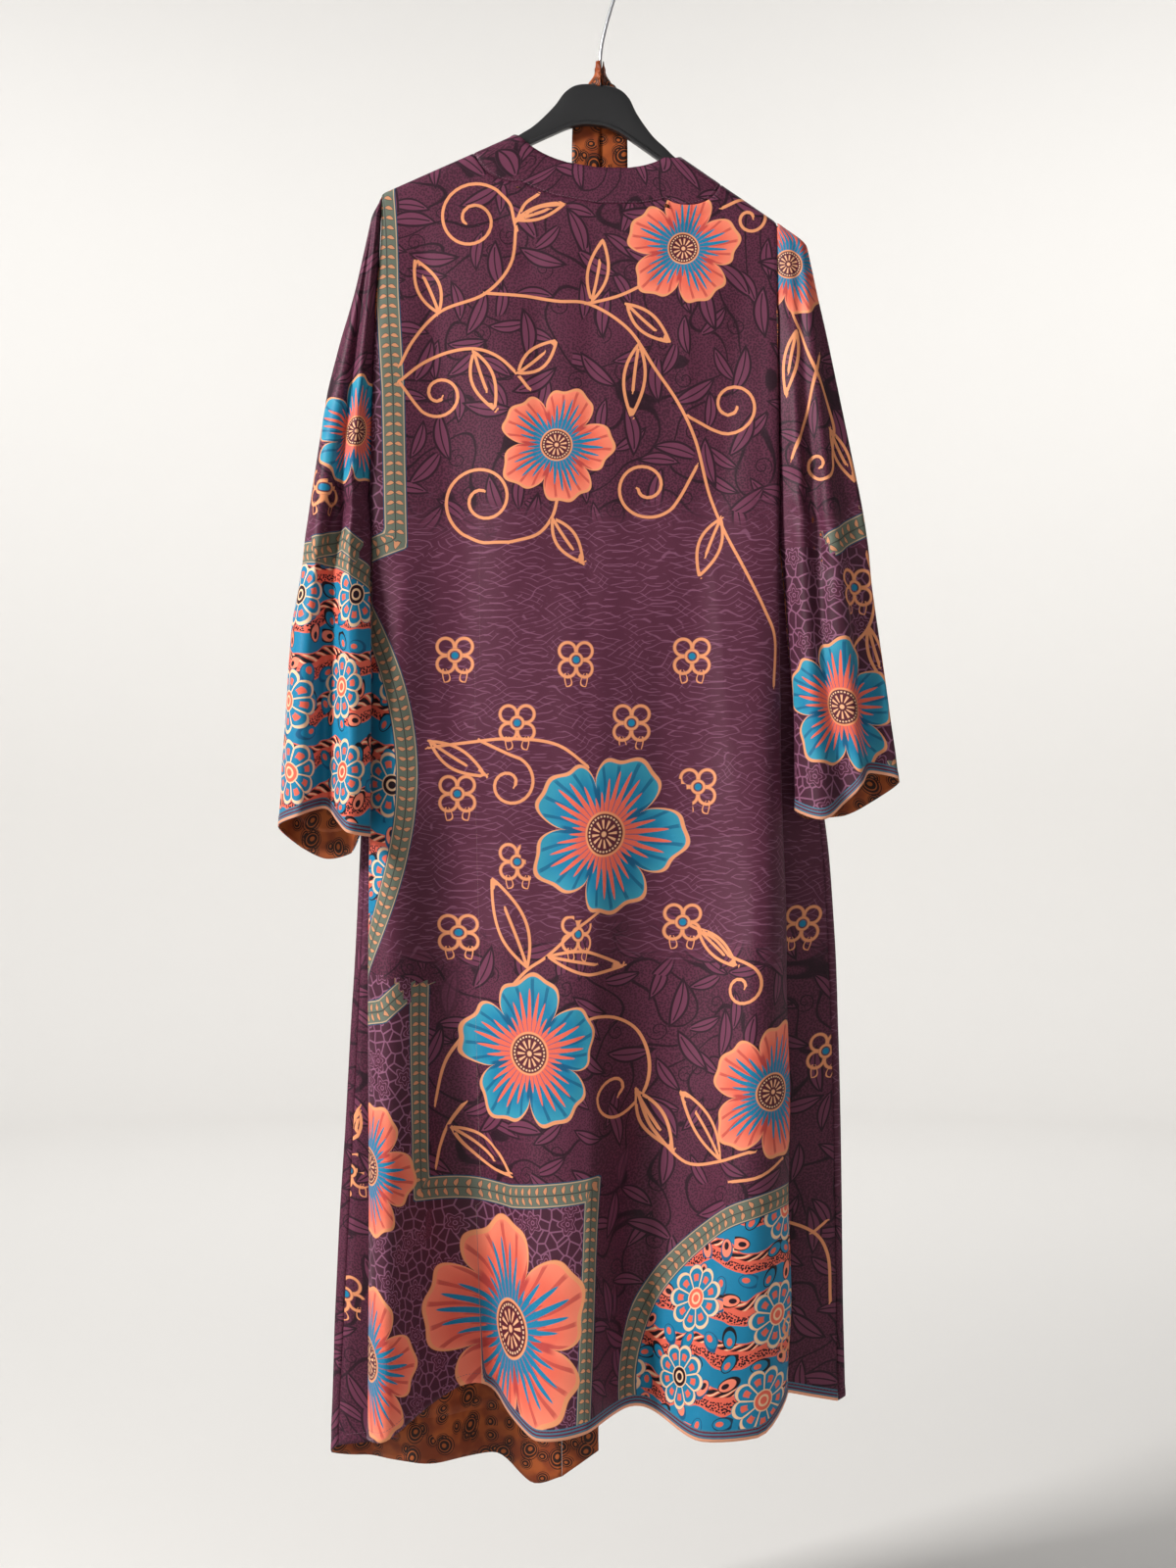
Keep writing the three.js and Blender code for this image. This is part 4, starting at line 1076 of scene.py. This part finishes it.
def flower(g, x, y, teal):
    """A broad five-petalled flower, 1 in radius, whose heart's colour streams out along its petals."""
    angle, away = polar(y, x)
    lobe = abs(cosine(angle * 2.5))
    wavy = sine(angle * 15 + 1.1) * 0.026 + sine(angle * 7) * 0.03
    edge = away / (lobe**0.42 * 0.4 + 0.545 + wavy)
    petal, heart = g.mix(teal, CORAL, TEAL), g.mix(teal, TEAL, CORAL)
    light, dark = g.mix(teal, CORAL_LIGHT, TEAL_LIGHT), g.mix(teal, rgb(178, 66, 62), TEAL_DARK)
    colour = g.mix(edge.step(0.8, 0.35), petal, light)
    folds = sine(angle * 25 + sine(away * 9) * 0.5)
    outer_part = edge.step(0.5, 0.2) * edge.step(0.93, -0.06)
    colour = g.mix((folds - 1).line(0.2, 0.15) * outer_part * 0.75, colour, dark)
    colour = g.mix(lobe.step(0.2, -0.1) * away.step(0.56, -0.1), colour, dark)
    rays = (cosine(angle * 35 + sine(angle * 3)) * 0.5 + 0.5) ** 1.6
    reach = rays * (lobe * 0.3 + 0.06) + lobe * 0.12 + 0.3
    colour = g.mix((away - reach).step(0, -0.03), colour, heart)
    streak = (cosine(angle * 35) + 1).line(0.16, 0.1) * (away - lobe * 0.14).step(0.38, -0.04)
    colour = g.mix(streak * away.step(0.27, 0.02) * 0.7, colour, dark)
    colour = g.mix(away.step(0.262, -0.015), colour, SAND)
    colour = g.mix(away.step(0.236, -0.015), colour, rgb(84, 30, 42))
    colour = g.mix((away - 0.205).line(0.01, 0.012) * cosine(angle * 30).step(-0.2, 0.4), colour, CREAM)
    seed = (away - 0.115).line(0.05, 0.02) * cosine(angle * 12).step(0.3, 0.4)
    colour = g.mix(seed | away.step(0.032, -0.015), colour, tint(SAND, CREAM, 0.5))
    colour = g.mix((edge - 0.975).line(0.026, 0.014), colour, SAND)
    return colour, edge.step(1.0, -0.012)


def sprig(g, x, y):
    """A small knot of four loops round an eye, with a pair of leaves below."""
    loops = root((abs(x) - 0.36) ** 2 + (abs(y) - 0.36) ** 2)
    eye = polar(x, y)[1]
    knot = (loops - 0.34).line(0.062, 0.05) * eye.step(0.3, 0.05)
    leaf = leaf_shape(y + 1.06 - abs(x) * 0.7, abs(x) - 0.36, 0.34, 0.17)
    marks = knot | (eye - 0.25).line(0.055, 0.05) | (leaf - 0.85).line(0.16, 0.1) * (y < -0.55)
    return marks, eye.step(0.14, -0.06)


def silk_print():
    g = Graph("silk_print")
    mm = g.vector("ADD", g.attribute("cut_mm"), (1000.0, 1000.0, 0.0))
    veined, lattice, hem = g.parts(g.attribute("ground"))
    wobble = (g.noise(mm, 0.02) - 0.5) * 60
    colour = g.mix((veined + wobble).step(0, 20), leafy_ground(g, mm), veined_ground(g, mm))
    colour = g.mix(lattice.step(0, 0.6), colour, lattice_ground(g, mm))
    x, y, size = g.parts(g.attribute("panel"))
    panel, inside = round_panel(g, x, y, size, mm)
    colour = g.mix(inside, colour, panel)
    across, near, along = g.parts(g.attribute("border"))
    there = (near < 60) * across.line(1.0, 0.04)
    colour = g.mix(there, colour, border_strip(g, across, along))
    strokes = 0.0
    for name in ("stem", "stem_two"):
        side, near, _ = g.parts(g.attribute(name))
        strokes = side.line(1.0, 0.3) * near.step(STEM_HALF + 2.5, -0.5) + strokes
    colour = g.mix(strokes, colour, SAND)
    x, y, kind = g.parts(g.attribute("motif"))
    marks, eye = sprig(g, x, y)
    small = kind > 2.5
    colour = g.mix(marks * small, colour, SAND)
    colour = g.mix(eye * small, colour, TEAL)
    bloom, inside = flower(g, x, y, (kind > 1.5) * (kind < 2.5))
    colour = g.mix(inside * (kind < 2.5), colour, bloom)
    lines = (fract(hem / 3.4 + 0.3) - 0.5).line(0.24, 0.1)
    edged = hem > 0.01
    colour = g.mix(hem.step(11.5, -0.6) * edged, colour, g.mix(lines, rgb(96, 30, 52), tint(TEAL, BORDER, 0.4)))
    colour = g.mix(hem.step(3.0, -0.5) * edged, colour, tint(CREAM, CORAL, 0.4))
    faded = g.noise(mm, 0.006) * 0.12 + 0.94
    colour = g.node("HueSaturation", None, {"Value": faded, "Color": colour}).outputs[0]
    grain = g.noise(g.vector("MULTIPLY", mm, (1.0, 0.35, 1.0)), 1.4, 1.0) + g.noise(mm, 0.35, 2.0) * 0.8
    g.cloth_surface(colour, grain)
    return g.material


def lining_print():
    g = Graph("silk_lining")
    mm = g.vector("ADD", g.attribute("cut_mm"), (1000.0, 1000.0, 0.0))
    colour = g.mix(g.noise(mm, 0.04).step(0.5, 0.3), RUST, RUST_LIGHT)
    for scale, size in ((0.05, 8.5), (0.03, 13.0)):
        x, y, *_ = own_cell(g, mm, scale, 0.8)
        r = polar(x, y)[1]
        curl = root((x - size * 0.35) ** 2 + (y + r * 0.3) ** 2) / (size * 0.62)
        colour = g.mix(curl.step(1.0, -0.08), colour, BROWN)
        colour = g.mix((curl - 0.72).line(0.06, 0.05) | curl.step(0.3, -0.08), colour, RUST_LIGHT)
        colour = g.mix((curl - 1.22).line(0.05, 0.05), colour, BROWN)
    grain = g.noise(mm, 1.2, 1.0)
    g.cloth_surface(colour, grain)
    return g.material


def plain(name, colour, roughness, metallic=0.0, coat=0.0):
    """A material of one colour with a fine grain."""
    g = Graph(name)
    grain = g.noise(g.node("TexCoord").outputs["Object"], 900.0, 3.0)
    shader = g.node("BsdfPrincipled", None, {
        "Base Color": colour, "Metallic": metallic, "Roughness": grain * 0.12 + (roughness - 0.06),
        "Coat Weight": coat, "Coat Roughness": 0.3,
    })
    g.finish(shader, grain, 0.25, 0.00005)
    return g.material


# %% [markdown]
# ## The sewn pieces
# Each piece becomes a closed shell: the printed face, the inner face and a rim. Its faces carry the print's
# places at their corners, taken from the one motif that owns the face, so two motifs never blur together.

# %% Shells
silk, lining = silk_print(), lining_print()


def store(mesh, name, values, domain="POINT"):
    layer = mesh.attributes.new(name, "FLOAT_VECTOR", domain)
    layer.data.foreach_set("vector", np.ascontiguousarray(values, dtype=np.float32).ravel())


def shell(name, outer, inner, outward, materials):
    """A closed mesh between two grids, with its corners' grid places, which are the same on both faces."""
    rows, cols = outer.shape[:2]
    size = rows * cols
    index = np.arange(size).reshape(rows, cols)
    face = np.stack([index[:-1, :-1], index[:-1, 1:], index[1:, 1:], index[1:, :-1]], -1).reshape(-1, 4)
    ring = np.concatenate([index[0, :-1], index[:-1, -1], index[-1, :0:-1], index[:0:-1, 0]])
    after = np.roll(ring, -1)
    rim = np.stack([after, ring, ring + size, after + size], -1)
    faces = np.concatenate([face, face[:, ::-1] + size, rim])
    if outward < 0:
        faces = faces[:, ::-1]
    points = np.concatenate([outer.reshape(-1, 3), inner.reshape(-1, 3)]) * MM
    mesh = bpy.data.meshes.new(name)
    mesh.vertices.add(len(points))
    mesh.vertices.foreach_set("co", points.astype(np.float32).ravel())
    mesh.loops.add(faces.size)
    mesh.loops.foreach_set("vertex_index", faces.astype(np.int32).ravel())
    mesh.polygons.add(len(faces))
    mesh.polygons.foreach_set("loop_start", np.arange(0, faces.size, 4, dtype=np.int32))
    smooth = np.ones(len(faces), bool)
    smooth[2 * len(face) :] = False
    mesh.polygons.foreach_set("use_smooth", smooth)
    kinds = np.zeros(len(faces), np.int32)
    kinds[len(face) : 2 * len(face)] = len(materials) - 1
    for material in materials:
        mesh.materials.append(material)
    mesh.polygons.foreach_set("material_index", kinds)
    mesh.update(calc_edges=True)
    return added(name + "_cloth", mesh), faces


def corner_squares(uv, faces, spots, behind):
    """For each corner of each face, the place in the square of the motif nearest to the face, and its kind."""
    out = np.full((*faces.shape, 3), 9.0)
    out[..., 2] = 0
    if not spots:
        return out
    middle = uv[faces].mean(1)
    away = np.stack([np.hypot(*(middle - c).T) / r for c, r, _, _ in spots])
    small = np.array([[kind == SPRIG] for *_, kind in spots])  # a sprig gives way to a flower that lies over it
    rank = np.where(small, 1.06 + away * 0.3, np.where(away < 1.05, away, 9))
    owner, best = rank.argmin(0), rank.min(0)
    for i, (centre, radius, turn, kind) in enumerate(spots):
        own = (owner == i) & (best < 1.6) & ((kind == SPRIG) | ~behind)
        d = (uv[faces[own]] - centre) / radius
        c, s = math.cos(math.radians(turn)), math.sin(math.radians(turn))
        x, y = d[..., 0], -d[..., 1]
        out[own] = np.stack([c * x - s * y, s * x + c * y, np.full(x.shape, float(kind))], -1)
    return out


sheets = {}
for name, piece in cloth.items():
    outer = piece["outer"]
    inner = outer - piece["n"] * CLOTH
    made, faces = shell(name, outer, inner, OUTWARD[name], [silk, lining])
    uv = np.stack([piece["u"], piece["v"]], -1).reshape(-1, 2)
    twice = lambda values: np.concatenate([values, values])
    mesh, places, corners = made.data, piece["places"], faces % len(uv)
    store(mesh, "cut_mm", twice(np.column_stack([uv, np.zeros(len(uv))])))
    store(mesh, "ground", twice(places["ground"]))
    for key, values in zip(("stem", "stem_two"), corner_lines(uv, corners, places["stems"], STEM_HALF, 2)):
        store(mesh, key, values, "CORNER")
    behind = places["behind"][corners].any(1)
    strip = corner_lines(uv, corners, places["borders"], BORDER_HALF, 1, True)[0]
    store(mesh, "border", np.where(behind[:, None, None], 99.0, strip), "CORNER")
    store(mesh, "motif", corner_squares(uv, corners, places["spots"], behind), "CORNER")
    store(mesh, "panel", corner_squares(uv, corners, places["rounds"], behind), "CORNER")
    sheets[name] = made
print({name: len(o.data.polygons) for name, o in sheets.items()})

# %% [markdown]
# ## The linings
# The fronts and the sleeves are lined, with the lining cut a little short of each hem so that it can't show
# below it. It follows the outer cloth, 0.4 mm behind its inner face.

# %% Linings
TOP_ROWS = {"front_left": 5, "front_right": 5, "sleeve_left": 9, "sleeve_right": 9}
for name, top in TOP_ROWS.items():
    piece = cloth[name]
    rows = len(piece["outer"])
    pick = np.unique(np.linspace(top, rows * 0.962, rows // 2).astype(int))
    cols = np.unique(np.linspace(2, piece["outer"].shape[1] - 3, piece["outer"].shape[1] // 2).astype(int))
    grid = np.ix_(pick, cols)
    outer = piece["outer"][grid] - piece["n"][grid] * (CLOTH + 0.4)
    inner = outer - piece["n"][grid] * LINING
    made, faces = shell("lining_" + name, outer, inner, OUTWARD[name], [lining])
    uv = np.column_stack([piece["u"][grid].ravel(), piece["v"][grid].ravel(), np.zeros(outer[..., 0].size)])
    store(made.data, "cut_mm", np.concatenate([uv, uv]))
    sheets["lining_" + name] = made
print("linings:", [name for name in sheets if name.startswith("lining")])

# %% [markdown]
# ## The belt
# A tie belt is a long tube of silk pressed flat. Here it is laid over the hook's stem so that its two ends hang
# down inside the back, and it is gathered where it stands on edge against the wire.

# %% Belt
#   x, y, z, width, lean: 0 lies flat, 1 stands on edge
BELT_HALF = [
    (-14.9, 3, -1085, 29, 0), (-15.1, -3, -950, 29, 0), (-14.2, 2, -780, 29, 0), (-14.5, 4, -600, 29, 0),
    (-14.2, 2, -420, 29, 0), (-14.1, 3, -300, 29, 0), (-14.1, 8, -215, 29, 0), (-13.9, 8.6, -180, 28.6, 0),
    (-13.2, 8.6, -155, 27, 0), (-11.2, 8, -138, 23, 0.12), (-9, 7, -127, 19, 0.4), (-6, 3.6, -122, 22, 0.8),
    (-4.2, -1.2, -121, 25, 1), (-2.5, -3.2, -120.5, 26, 1),
]
BELT_CLOTH, BELT_WIDTH = 1.6, 29


def smooth_rows(rows, step):
    """A smooth run through the rows, with points about step apart."""
    rows = np.asarray(rows, float)
    length = np.concatenate([[0], np.cumsum(np.linalg.norm(np.diff(rows[:, :3], axis=0), axis=1))])
    dense = through(np.broadcast_to(rows[:, :, None], (*rows.shape, 2000)), np.linspace(0, 1, 2000)).T
    run = np.concatenate([[0], np.cumsum(np.linalg.norm(np.diff(dense[:, :3], axis=0), axis=1))])
    at = np.linspace(0, run[-1], int(length[-1] / step))
    return np.stack([np.interp(at, run, dense[:, k]) for k in range(rows.shape[1])], -1), at


line, run = smooth_rows([*BELT_HALF[:-1], (0, -4, -120.5, 26, 1)], 4)
mirror = line[::-1][1:] * (-1, 1, 1, 1, 1)
mirror[:, 1] += 1.8 * smoothstep(-mirror[:, 2], 124, 150)  # the right end hangs just behind the left one
half = np.concatenate([line, mirror])
side = np.concatenate([np.ones(len(line)), -np.ones(len(mirror))])
turn = half[:, 4] * math.pi / 2
wide = np.stack([np.cos(turn), np.zeros(len(half)), side * np.sin(turn)], -1)
shares = np.linspace(-0.5, 0.5, 9)
middle = half[:, None, :3] + wide[:, None] * shares[None, :, None] * half[:, 3][:, None, None]
n = normals(middle)
gather = np.sin(shares * 19)[None] * (BELT_WIDTH - half[:, 3])[:, None] * 0.06
soft = 0.35 * np.sin(np.arange(len(half)) / 17.0)[:, None] * np.cos(shares * 3)[None]
middle = middle + n * (gather + soft)[..., None]
edge = (1 - 0.35 * (np.abs(shares) > 0.49))[None, :, None]
made, faces = shell("belt", middle + n * BELT_CLOTH / 2 * edge, middle - n * BELT_CLOTH / 2 * edge, 1, [lining])
along = np.concatenate([[0], np.cumsum(np.linalg.norm(np.diff(half[:, :3], axis=0), axis=1))])
u, v = np.broadcast_arrays(shares[None] * BELT_WIDTH + 400, along[:, None])
uv = np.column_stack([u.ravel(), v.ravel(), np.zeros(u.size)])
store(made.data, "cut_mm", np.concatenate([uv, uv]))
sheets["belt"] = made
print("belt length", round(along[-1]), "mm")

# %% [markdown]
# ## The hanger
# A moulded hanger is a flat web with a thicker foot along its lower edge, which stiffens it. The plate is cut
# from the outline and its edges are rounded, as a mould leaves them. The hook is bent from one length of wire.

# %% Hanger and hook
WEB, FOOT = 6, 10  # how thick the plate and its foot are
WIRE, HOOK = 1.75, 21  # the wire's radius, and the hook's to the wire's middle
UPPER_EDGE = [(0, 1), (14, 0.4), (24, -2.5), (33, -10), (42, -24.5), (61, -46.5), (74, -56.5), (86, -66)]
TIP = [(204, -130.1), (210, -135.5), (210.5, -142), (206, -147), (199, -146.5)]
LOWER_EDGE = [(74, -73), (42, -54.5), (25, -45.5), (10, -41), (0, -40.5)]


def plate(outline, depth, bevel):
    """A flat piece of the outline with rounded edges, as a mesh. The outline runs the same way as the sun."""
    line = np.array(outline, float)
    run = np.roll(line, -1, 0) - np.roll(line, 1, 0)
    inward = np.stack([run[:, 1], -run[:, 0]], -1) / np.linalg.norm(run, axis=1, keepdims=True)
    quarter = np.radians([90, 60, 30, 0])
    layers = [(-depth / 2 + bevel * (1 - math.sin(t)), bevel * (1 - math.cos(t))) for t in quarter]
    layers += [(-y, inset) for y, inset in reversed(layers)]
    c, s = math.cos(TILT), math.sin(TILT)
    bm = bmesh.new()
    rings = []
    for y, inset in layers:
        flat = line + inward * inset
        x, z = HUMP[0] + flat[:, 0] * c + flat[:, 1] * s, HUMP[1] + flat[:, 1] * c - flat[:, 0] * s
        rings.append([bm.verts.new(Vector((a, y, b)) * MM) for a, b in zip(x, z)])
    for one, two in zip(rings, rings[1:]):
        for i in range(len(one)):
            j = (i + 1) % len(one)
            bm.faces.new((one[i], one[j], two[j], two[i]))
    caps = [bm.faces.new(rings[0]), bm.faces.new(reversed(rings[-1]))]
    bmesh.ops.triangulate(bm, faces=caps)
    bmesh.ops.recalc_face_normals(bm, faces=bm.faces)
    mesh = bpy.data.meshes.new("plate")
    bm.to_mesh(mesh)
    bm.free()
    return mesh


def curved(points, step=6.0):
    return [tuple(p) for p in smooth_line(points, step)]


def mirrored(points):
    return [(-x, z) for x, z in reversed(points)]


upper = curved([*UPPER_EDGE, TIP[0]])
right = [*upper, *curved(TIP, 2.0)[1:], *curved([TIP[-1], *LOWER_EDGE])[1:]]
foot_line = curved([TIP[3], TIP[4], *LOWER_EDGE])
foot_inner = [(x - (2 if i == 0 else 0), z + 4.2) for i, (x, z) in enumerate(foot_line)]
foot_edge = [*foot_line, *mirrored(foot_line[:-1]), *[(-x, z) for x, z in foot_inner[:-1]],
             *reversed(foot_inner)]
both = bmesh.new()
for made in (plate([*right, *mirrored(right[1:-1])], WEB, 1.1), plate(foot_edge, FOOT, 1.0)):
    both.from_mesh(made)
mesh = bpy.data.meshes.new("hanger_body")
both.to_mesh(mesh)
both.free()
mesh.materials.append(plain("hanger_plastic", rgb(30, 30, 32), 0.42, coat=0.1))
mesh.shade_smooth()
mesh.set_sharp_from_angle(angle=math.radians(32))
hanger = added("hanger_moulding", mesh)
arc = [(HOOK * math.cos(t), 0, WIRE - HOOK + HOOK * math.sin(t)) for t in np.radians(np.linspace(-18, 192, 22))]
path = [(0, 0, -154), (0, 0, -122), (0.3, 0, -110), (2, 0, -92), (7, 0, -70), (14, 0, -46)]
wire_line = [*[tuple(p[:3]) for p in smooth_rows([*path, arc[0]], 3)[0][:-1]], *arc]
curve = bpy.data.curves.new("wire", "CURVE")
curve.dimensions, curve.bevel_depth, curve.bevel_resolution, curve.use_fill_caps = "3D", WIRE * MM, 3, True
spline = curve.splines.new("POLY")
spline.points.add(len(wire_line) - 1)
for point, (x, y, z) in zip(spline.points, wire_line):
    point.co = (x * MM, y * MM, z * MM, 1)
drawn = added("wire", curve)
mesh = bpy.data.meshes.new_from_object(drawn.evaluated_get(bpy.context.evaluated_depsgraph_get()))
mesh.name = "hanger_hook"
mesh.materials.clear()
mesh.materials.append(plain("hook_wire", rgb(178, 180, 184), 0.3, metallic=1.0))
mesh.shade_smooth()
mesh.set_sharp_from_angle(angle=math.radians(60))
hook = added("hook_wire", mesh)
bpy.data.objects.remove(drawn)
print("hanger faces", len(hanger.data.polygons), "hook faces", len(mesh.polygons))

# %% [markdown]
# ## Stitches
# A machine's stitches are alike and follow a seam, which is work for Geometry Nodes. The tree takes the pitch
# and the thread's size, sets one small stitch at each step of a line, and turns it along the line.

# %% Stitch rows
def stitch_tree():
    tree = bpy.data.node_groups.new("stitch_row", "GeometryNodeTree")
    face = tree.interface
    ask = lambda name, kind, io="INPUT": face.new_socket(name, in_out=io, socket_type=kind).identifier
    ask("Line", "NodeSocketGeometry")
    ids = {"pitch": ask("Pitch", "NodeSocketFloat"), "length": ask("Stitch Length", "NodeSocketFloat"),
           "radius": ask("Thread Radius", "NodeSocketFloat"), "thread": ask("Thread", "NodeSocketMaterial")}
    ask("Stitches", "NodeSocketGeometry", "OUTPUT")

    node = partial(add_node, tree)
    given = node("NodeGroupInput").outputs
    curve = node("GeometryNodeMeshToCurve", None, {"Mesh": given["Line"]})
    radius, pitch = given["Thread Radius"], given["Pitch"]
    steps = node("GeometryNodeCurveToPoints", {"mode": "LENGTH"}, {"Curve": curve.outputs[0], "Length": pitch})
    thread = node("GeometryNodeMeshUVSphere", None, {"Segments": 6, "Rings": 4, "Radius": radius})
    ratio = node("ShaderNodeMath", {"operation": "DIVIDE"}, {0: given["Stitch Length"], 1: radius})
    halved = node("ShaderNodeMath", {"operation": "MULTIPLY"}, {0: ratio.outputs[0], 1: 0.5})
    scale = node("ShaderNodeCombineXYZ", None, {"X": 1.0, "Y": 1.0, "Z": halved.outputs[0]})
    long = node("GeometryNodeTransform", None, {"Geometry": thread.outputs["Mesh"], "Scale": scale.outputs[0]})
    laid = node("GeometryNodeInstanceOnPoints", None, {
        "Points": steps.outputs["Points"], "Instance": long.outputs[0], "Rotation": steps.outputs["Rotation"]})
    real = node("GeometryNodeRealizeInstances", None, {"Geometry": laid.outputs[0]})
    coloured = node("GeometryNodeSetMaterial", None, {"Geometry": real.outputs[0], "Material": given["Thread"]})
    node("NodeGroupOutput", None, {0: coloured.outputs[0]})
    return tree, ids


def stitched(name, lines, tree, ids, values):
    """Runs the tree on lines of points in mm, and gives back a plain mesh."""
    mesh = bpy.data.meshes.new(name)
    points, edges = [], []
    for line in lines:
        edges += [(len(points) + i, len(points) + i + 1) for i in range(len(line) - 1)]
        points += [tuple(p * MM) for p in line]
    mesh.from_pydata(points, edges, [])
    made = added(name, mesh)
    rows = made.modifiers.new("stitches", "NODES")
    rows.node_group = tree
    for key, value in values.items():
        rows[ids[key]] = value
    flat = bpy.data.meshes.new_from_object(made.evaluated_get(bpy.context.evaluated_depsgraph_get()))
    made.modifiers.remove(rows)
    made.data = flat
    flat.name = name
    flat.shade_smooth()
    return made


tree, ids = stitch_tree()
thread = plain("thread", rgb(120, 84, 100), 0.6)
seat = lambda name, rows, cols, out=0.12: cloth[name]["outer"][rows, cols] + cloth[name]["n"][rows, cols] * out


def near_hem(name, away):
    """The row of points that lies nearest to away mm from the hem."""
    hem = cloth[name]["hem"]
    return int(np.argmin(np.abs(hem[:, hem.shape[1] // 2] - away)))


lines = [seat("neck_band", 1, slice(1, -1)), seat("back", near_hem("back", 9), slice(1, -1))]
for name in ("sleeve_left", "sleeve_right", "front_left", "front_right"):
    lines.append(seat(name, near_hem(name, 9), slice(1, -1)))
size = {"pitch": 0.0034, "length": 0.0025, "radius": 0.00022, "thread": thread}
sheets["stitches"] = stitched("stitches", lines, tree, ids, size)
print("stitch faces", len(sheets["stitches"].data.polygons))

# %% [markdown]
# ## Riding on the frame
# Every piece rides on the CAD part's one body, and the CAD node that each cloth piece, the hanger and the hook
# stand for is hidden.

# %% Frame and hidden parts
for name, made in sheets.items():
    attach(made, "root")
    if name == "stitches":
        continue
    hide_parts(name)
for made, node, slot in ((hanger, "hanger_body", "hanger_plastic"), (hook, "hanger_hook", "hook_wire")):
    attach(made, "root")
    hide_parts(node)

# %% [markdown]
# ## Light, floor and camera
# The robe hangs over a pale round floor that curves up into a wall. One large soft light stands to the left and
# above, a weaker one fills from the right, one lights the shoulders and two more wash the wall.

# %% Stage
def sweep():
    """A round floor that curves up into a wall all round, so that it looks the same from every side."""
    flat, bend, top, drop = 4.3, 0.9, 4.6, 1.78  # m
    rise = [(flat + bend * math.sin(t), bend - bend * math.cos(t)) for t in np.radians(np.arange(6, 91, 12))]
    profile = [(0.02, 0), (flat, 0), *rise, (flat + bend, top)]
    turns = np.linspace(0, 2 * math.pi, 65)[:-1]
    points = [(r * math.cos(t), r * math.sin(t), z - drop) for t in turns for r, z in profile]
    n, count = len(profile), len(points)
    faces = [(i, (i + n) % count, (i + n + 1) % count, i + 1) for i in range(count) if i % n < n - 1]
    faces.append(tuple(range(0, count, n)))  # closes the middle of the floor
    mesh = bpy.data.meshes.new("sweep")
    mesh.from_pydata(points, [], faces)
    mesh.shade_smooth()
    made = added("sweep", mesh)
    mesh.materials.append(plain("pale_wall", rgb(224, 222, 219), 0.85))
    return made


def lamp(name, place, size, power, colour=(1, 1, 1), at=(0, 0, -0.8)):
    data = bpy.data.lights.new(name, "AREA")
    data.size, data.energy, data.color = size, power, colour
    made = added(name, data)
    made.location = place
    made.visible_camera = False
    made.rotation_euler = (Vector(at) - Vector(place)).to_track_quat("-Z", "Y").to_euler()
    return made


scene = bpy.context.scene
stage = [sweep(), lamp("key", (-2.6, -1.6, 0.8), 0.65, 165, (1.0, 0.99, 0.97)),
         lamp("fill", (1.9, -2.6, -0.2), 1.6, 4, (0.95, 0.97, 1.0)), lamp("top", (0.3, 0.9, 1.2), 1.2, 14),
         lamp("wall_left", (-1.5, 2.4, 1.4), 1.0, 46, at=(-1.0, 5.2, -0.9)),
         lamp("wall_right", (1.5, 2.4, 1.4), 1.0, 46, at=(1.0, 5.2, -0.9))]
world = bpy.data.worlds.new("room")
world.use_nodes = True
world.node_tree.nodes["Background"].inputs[0].default_value = (0.93, 0.95, 1.0, 1)
world.node_tree.nodes["Background"].inputs[1].default_value = 0.1
scene.world = world
scene.view_settings.view_transform = "Standard"

CAMERA_AWAY, SEEN_HEIGHT, SENSOR = 2.4, 1.6, 36.0  # m, m at the robe, mm
camera = added("camera", bpy.data.cameras.new("camera"))
camera.location = (-0.012, -CAMERA_AWAY, -0.845)
camera.rotation_euler = (math.pi / 2, 0, 0)
camera.data.sensor_fit = "VERTICAL"
camera.data.sensor_height = SENSOR
camera.data.lens = SENSOR * CAMERA_AWAY / SEEN_HEIGHT
scene.camera = camera
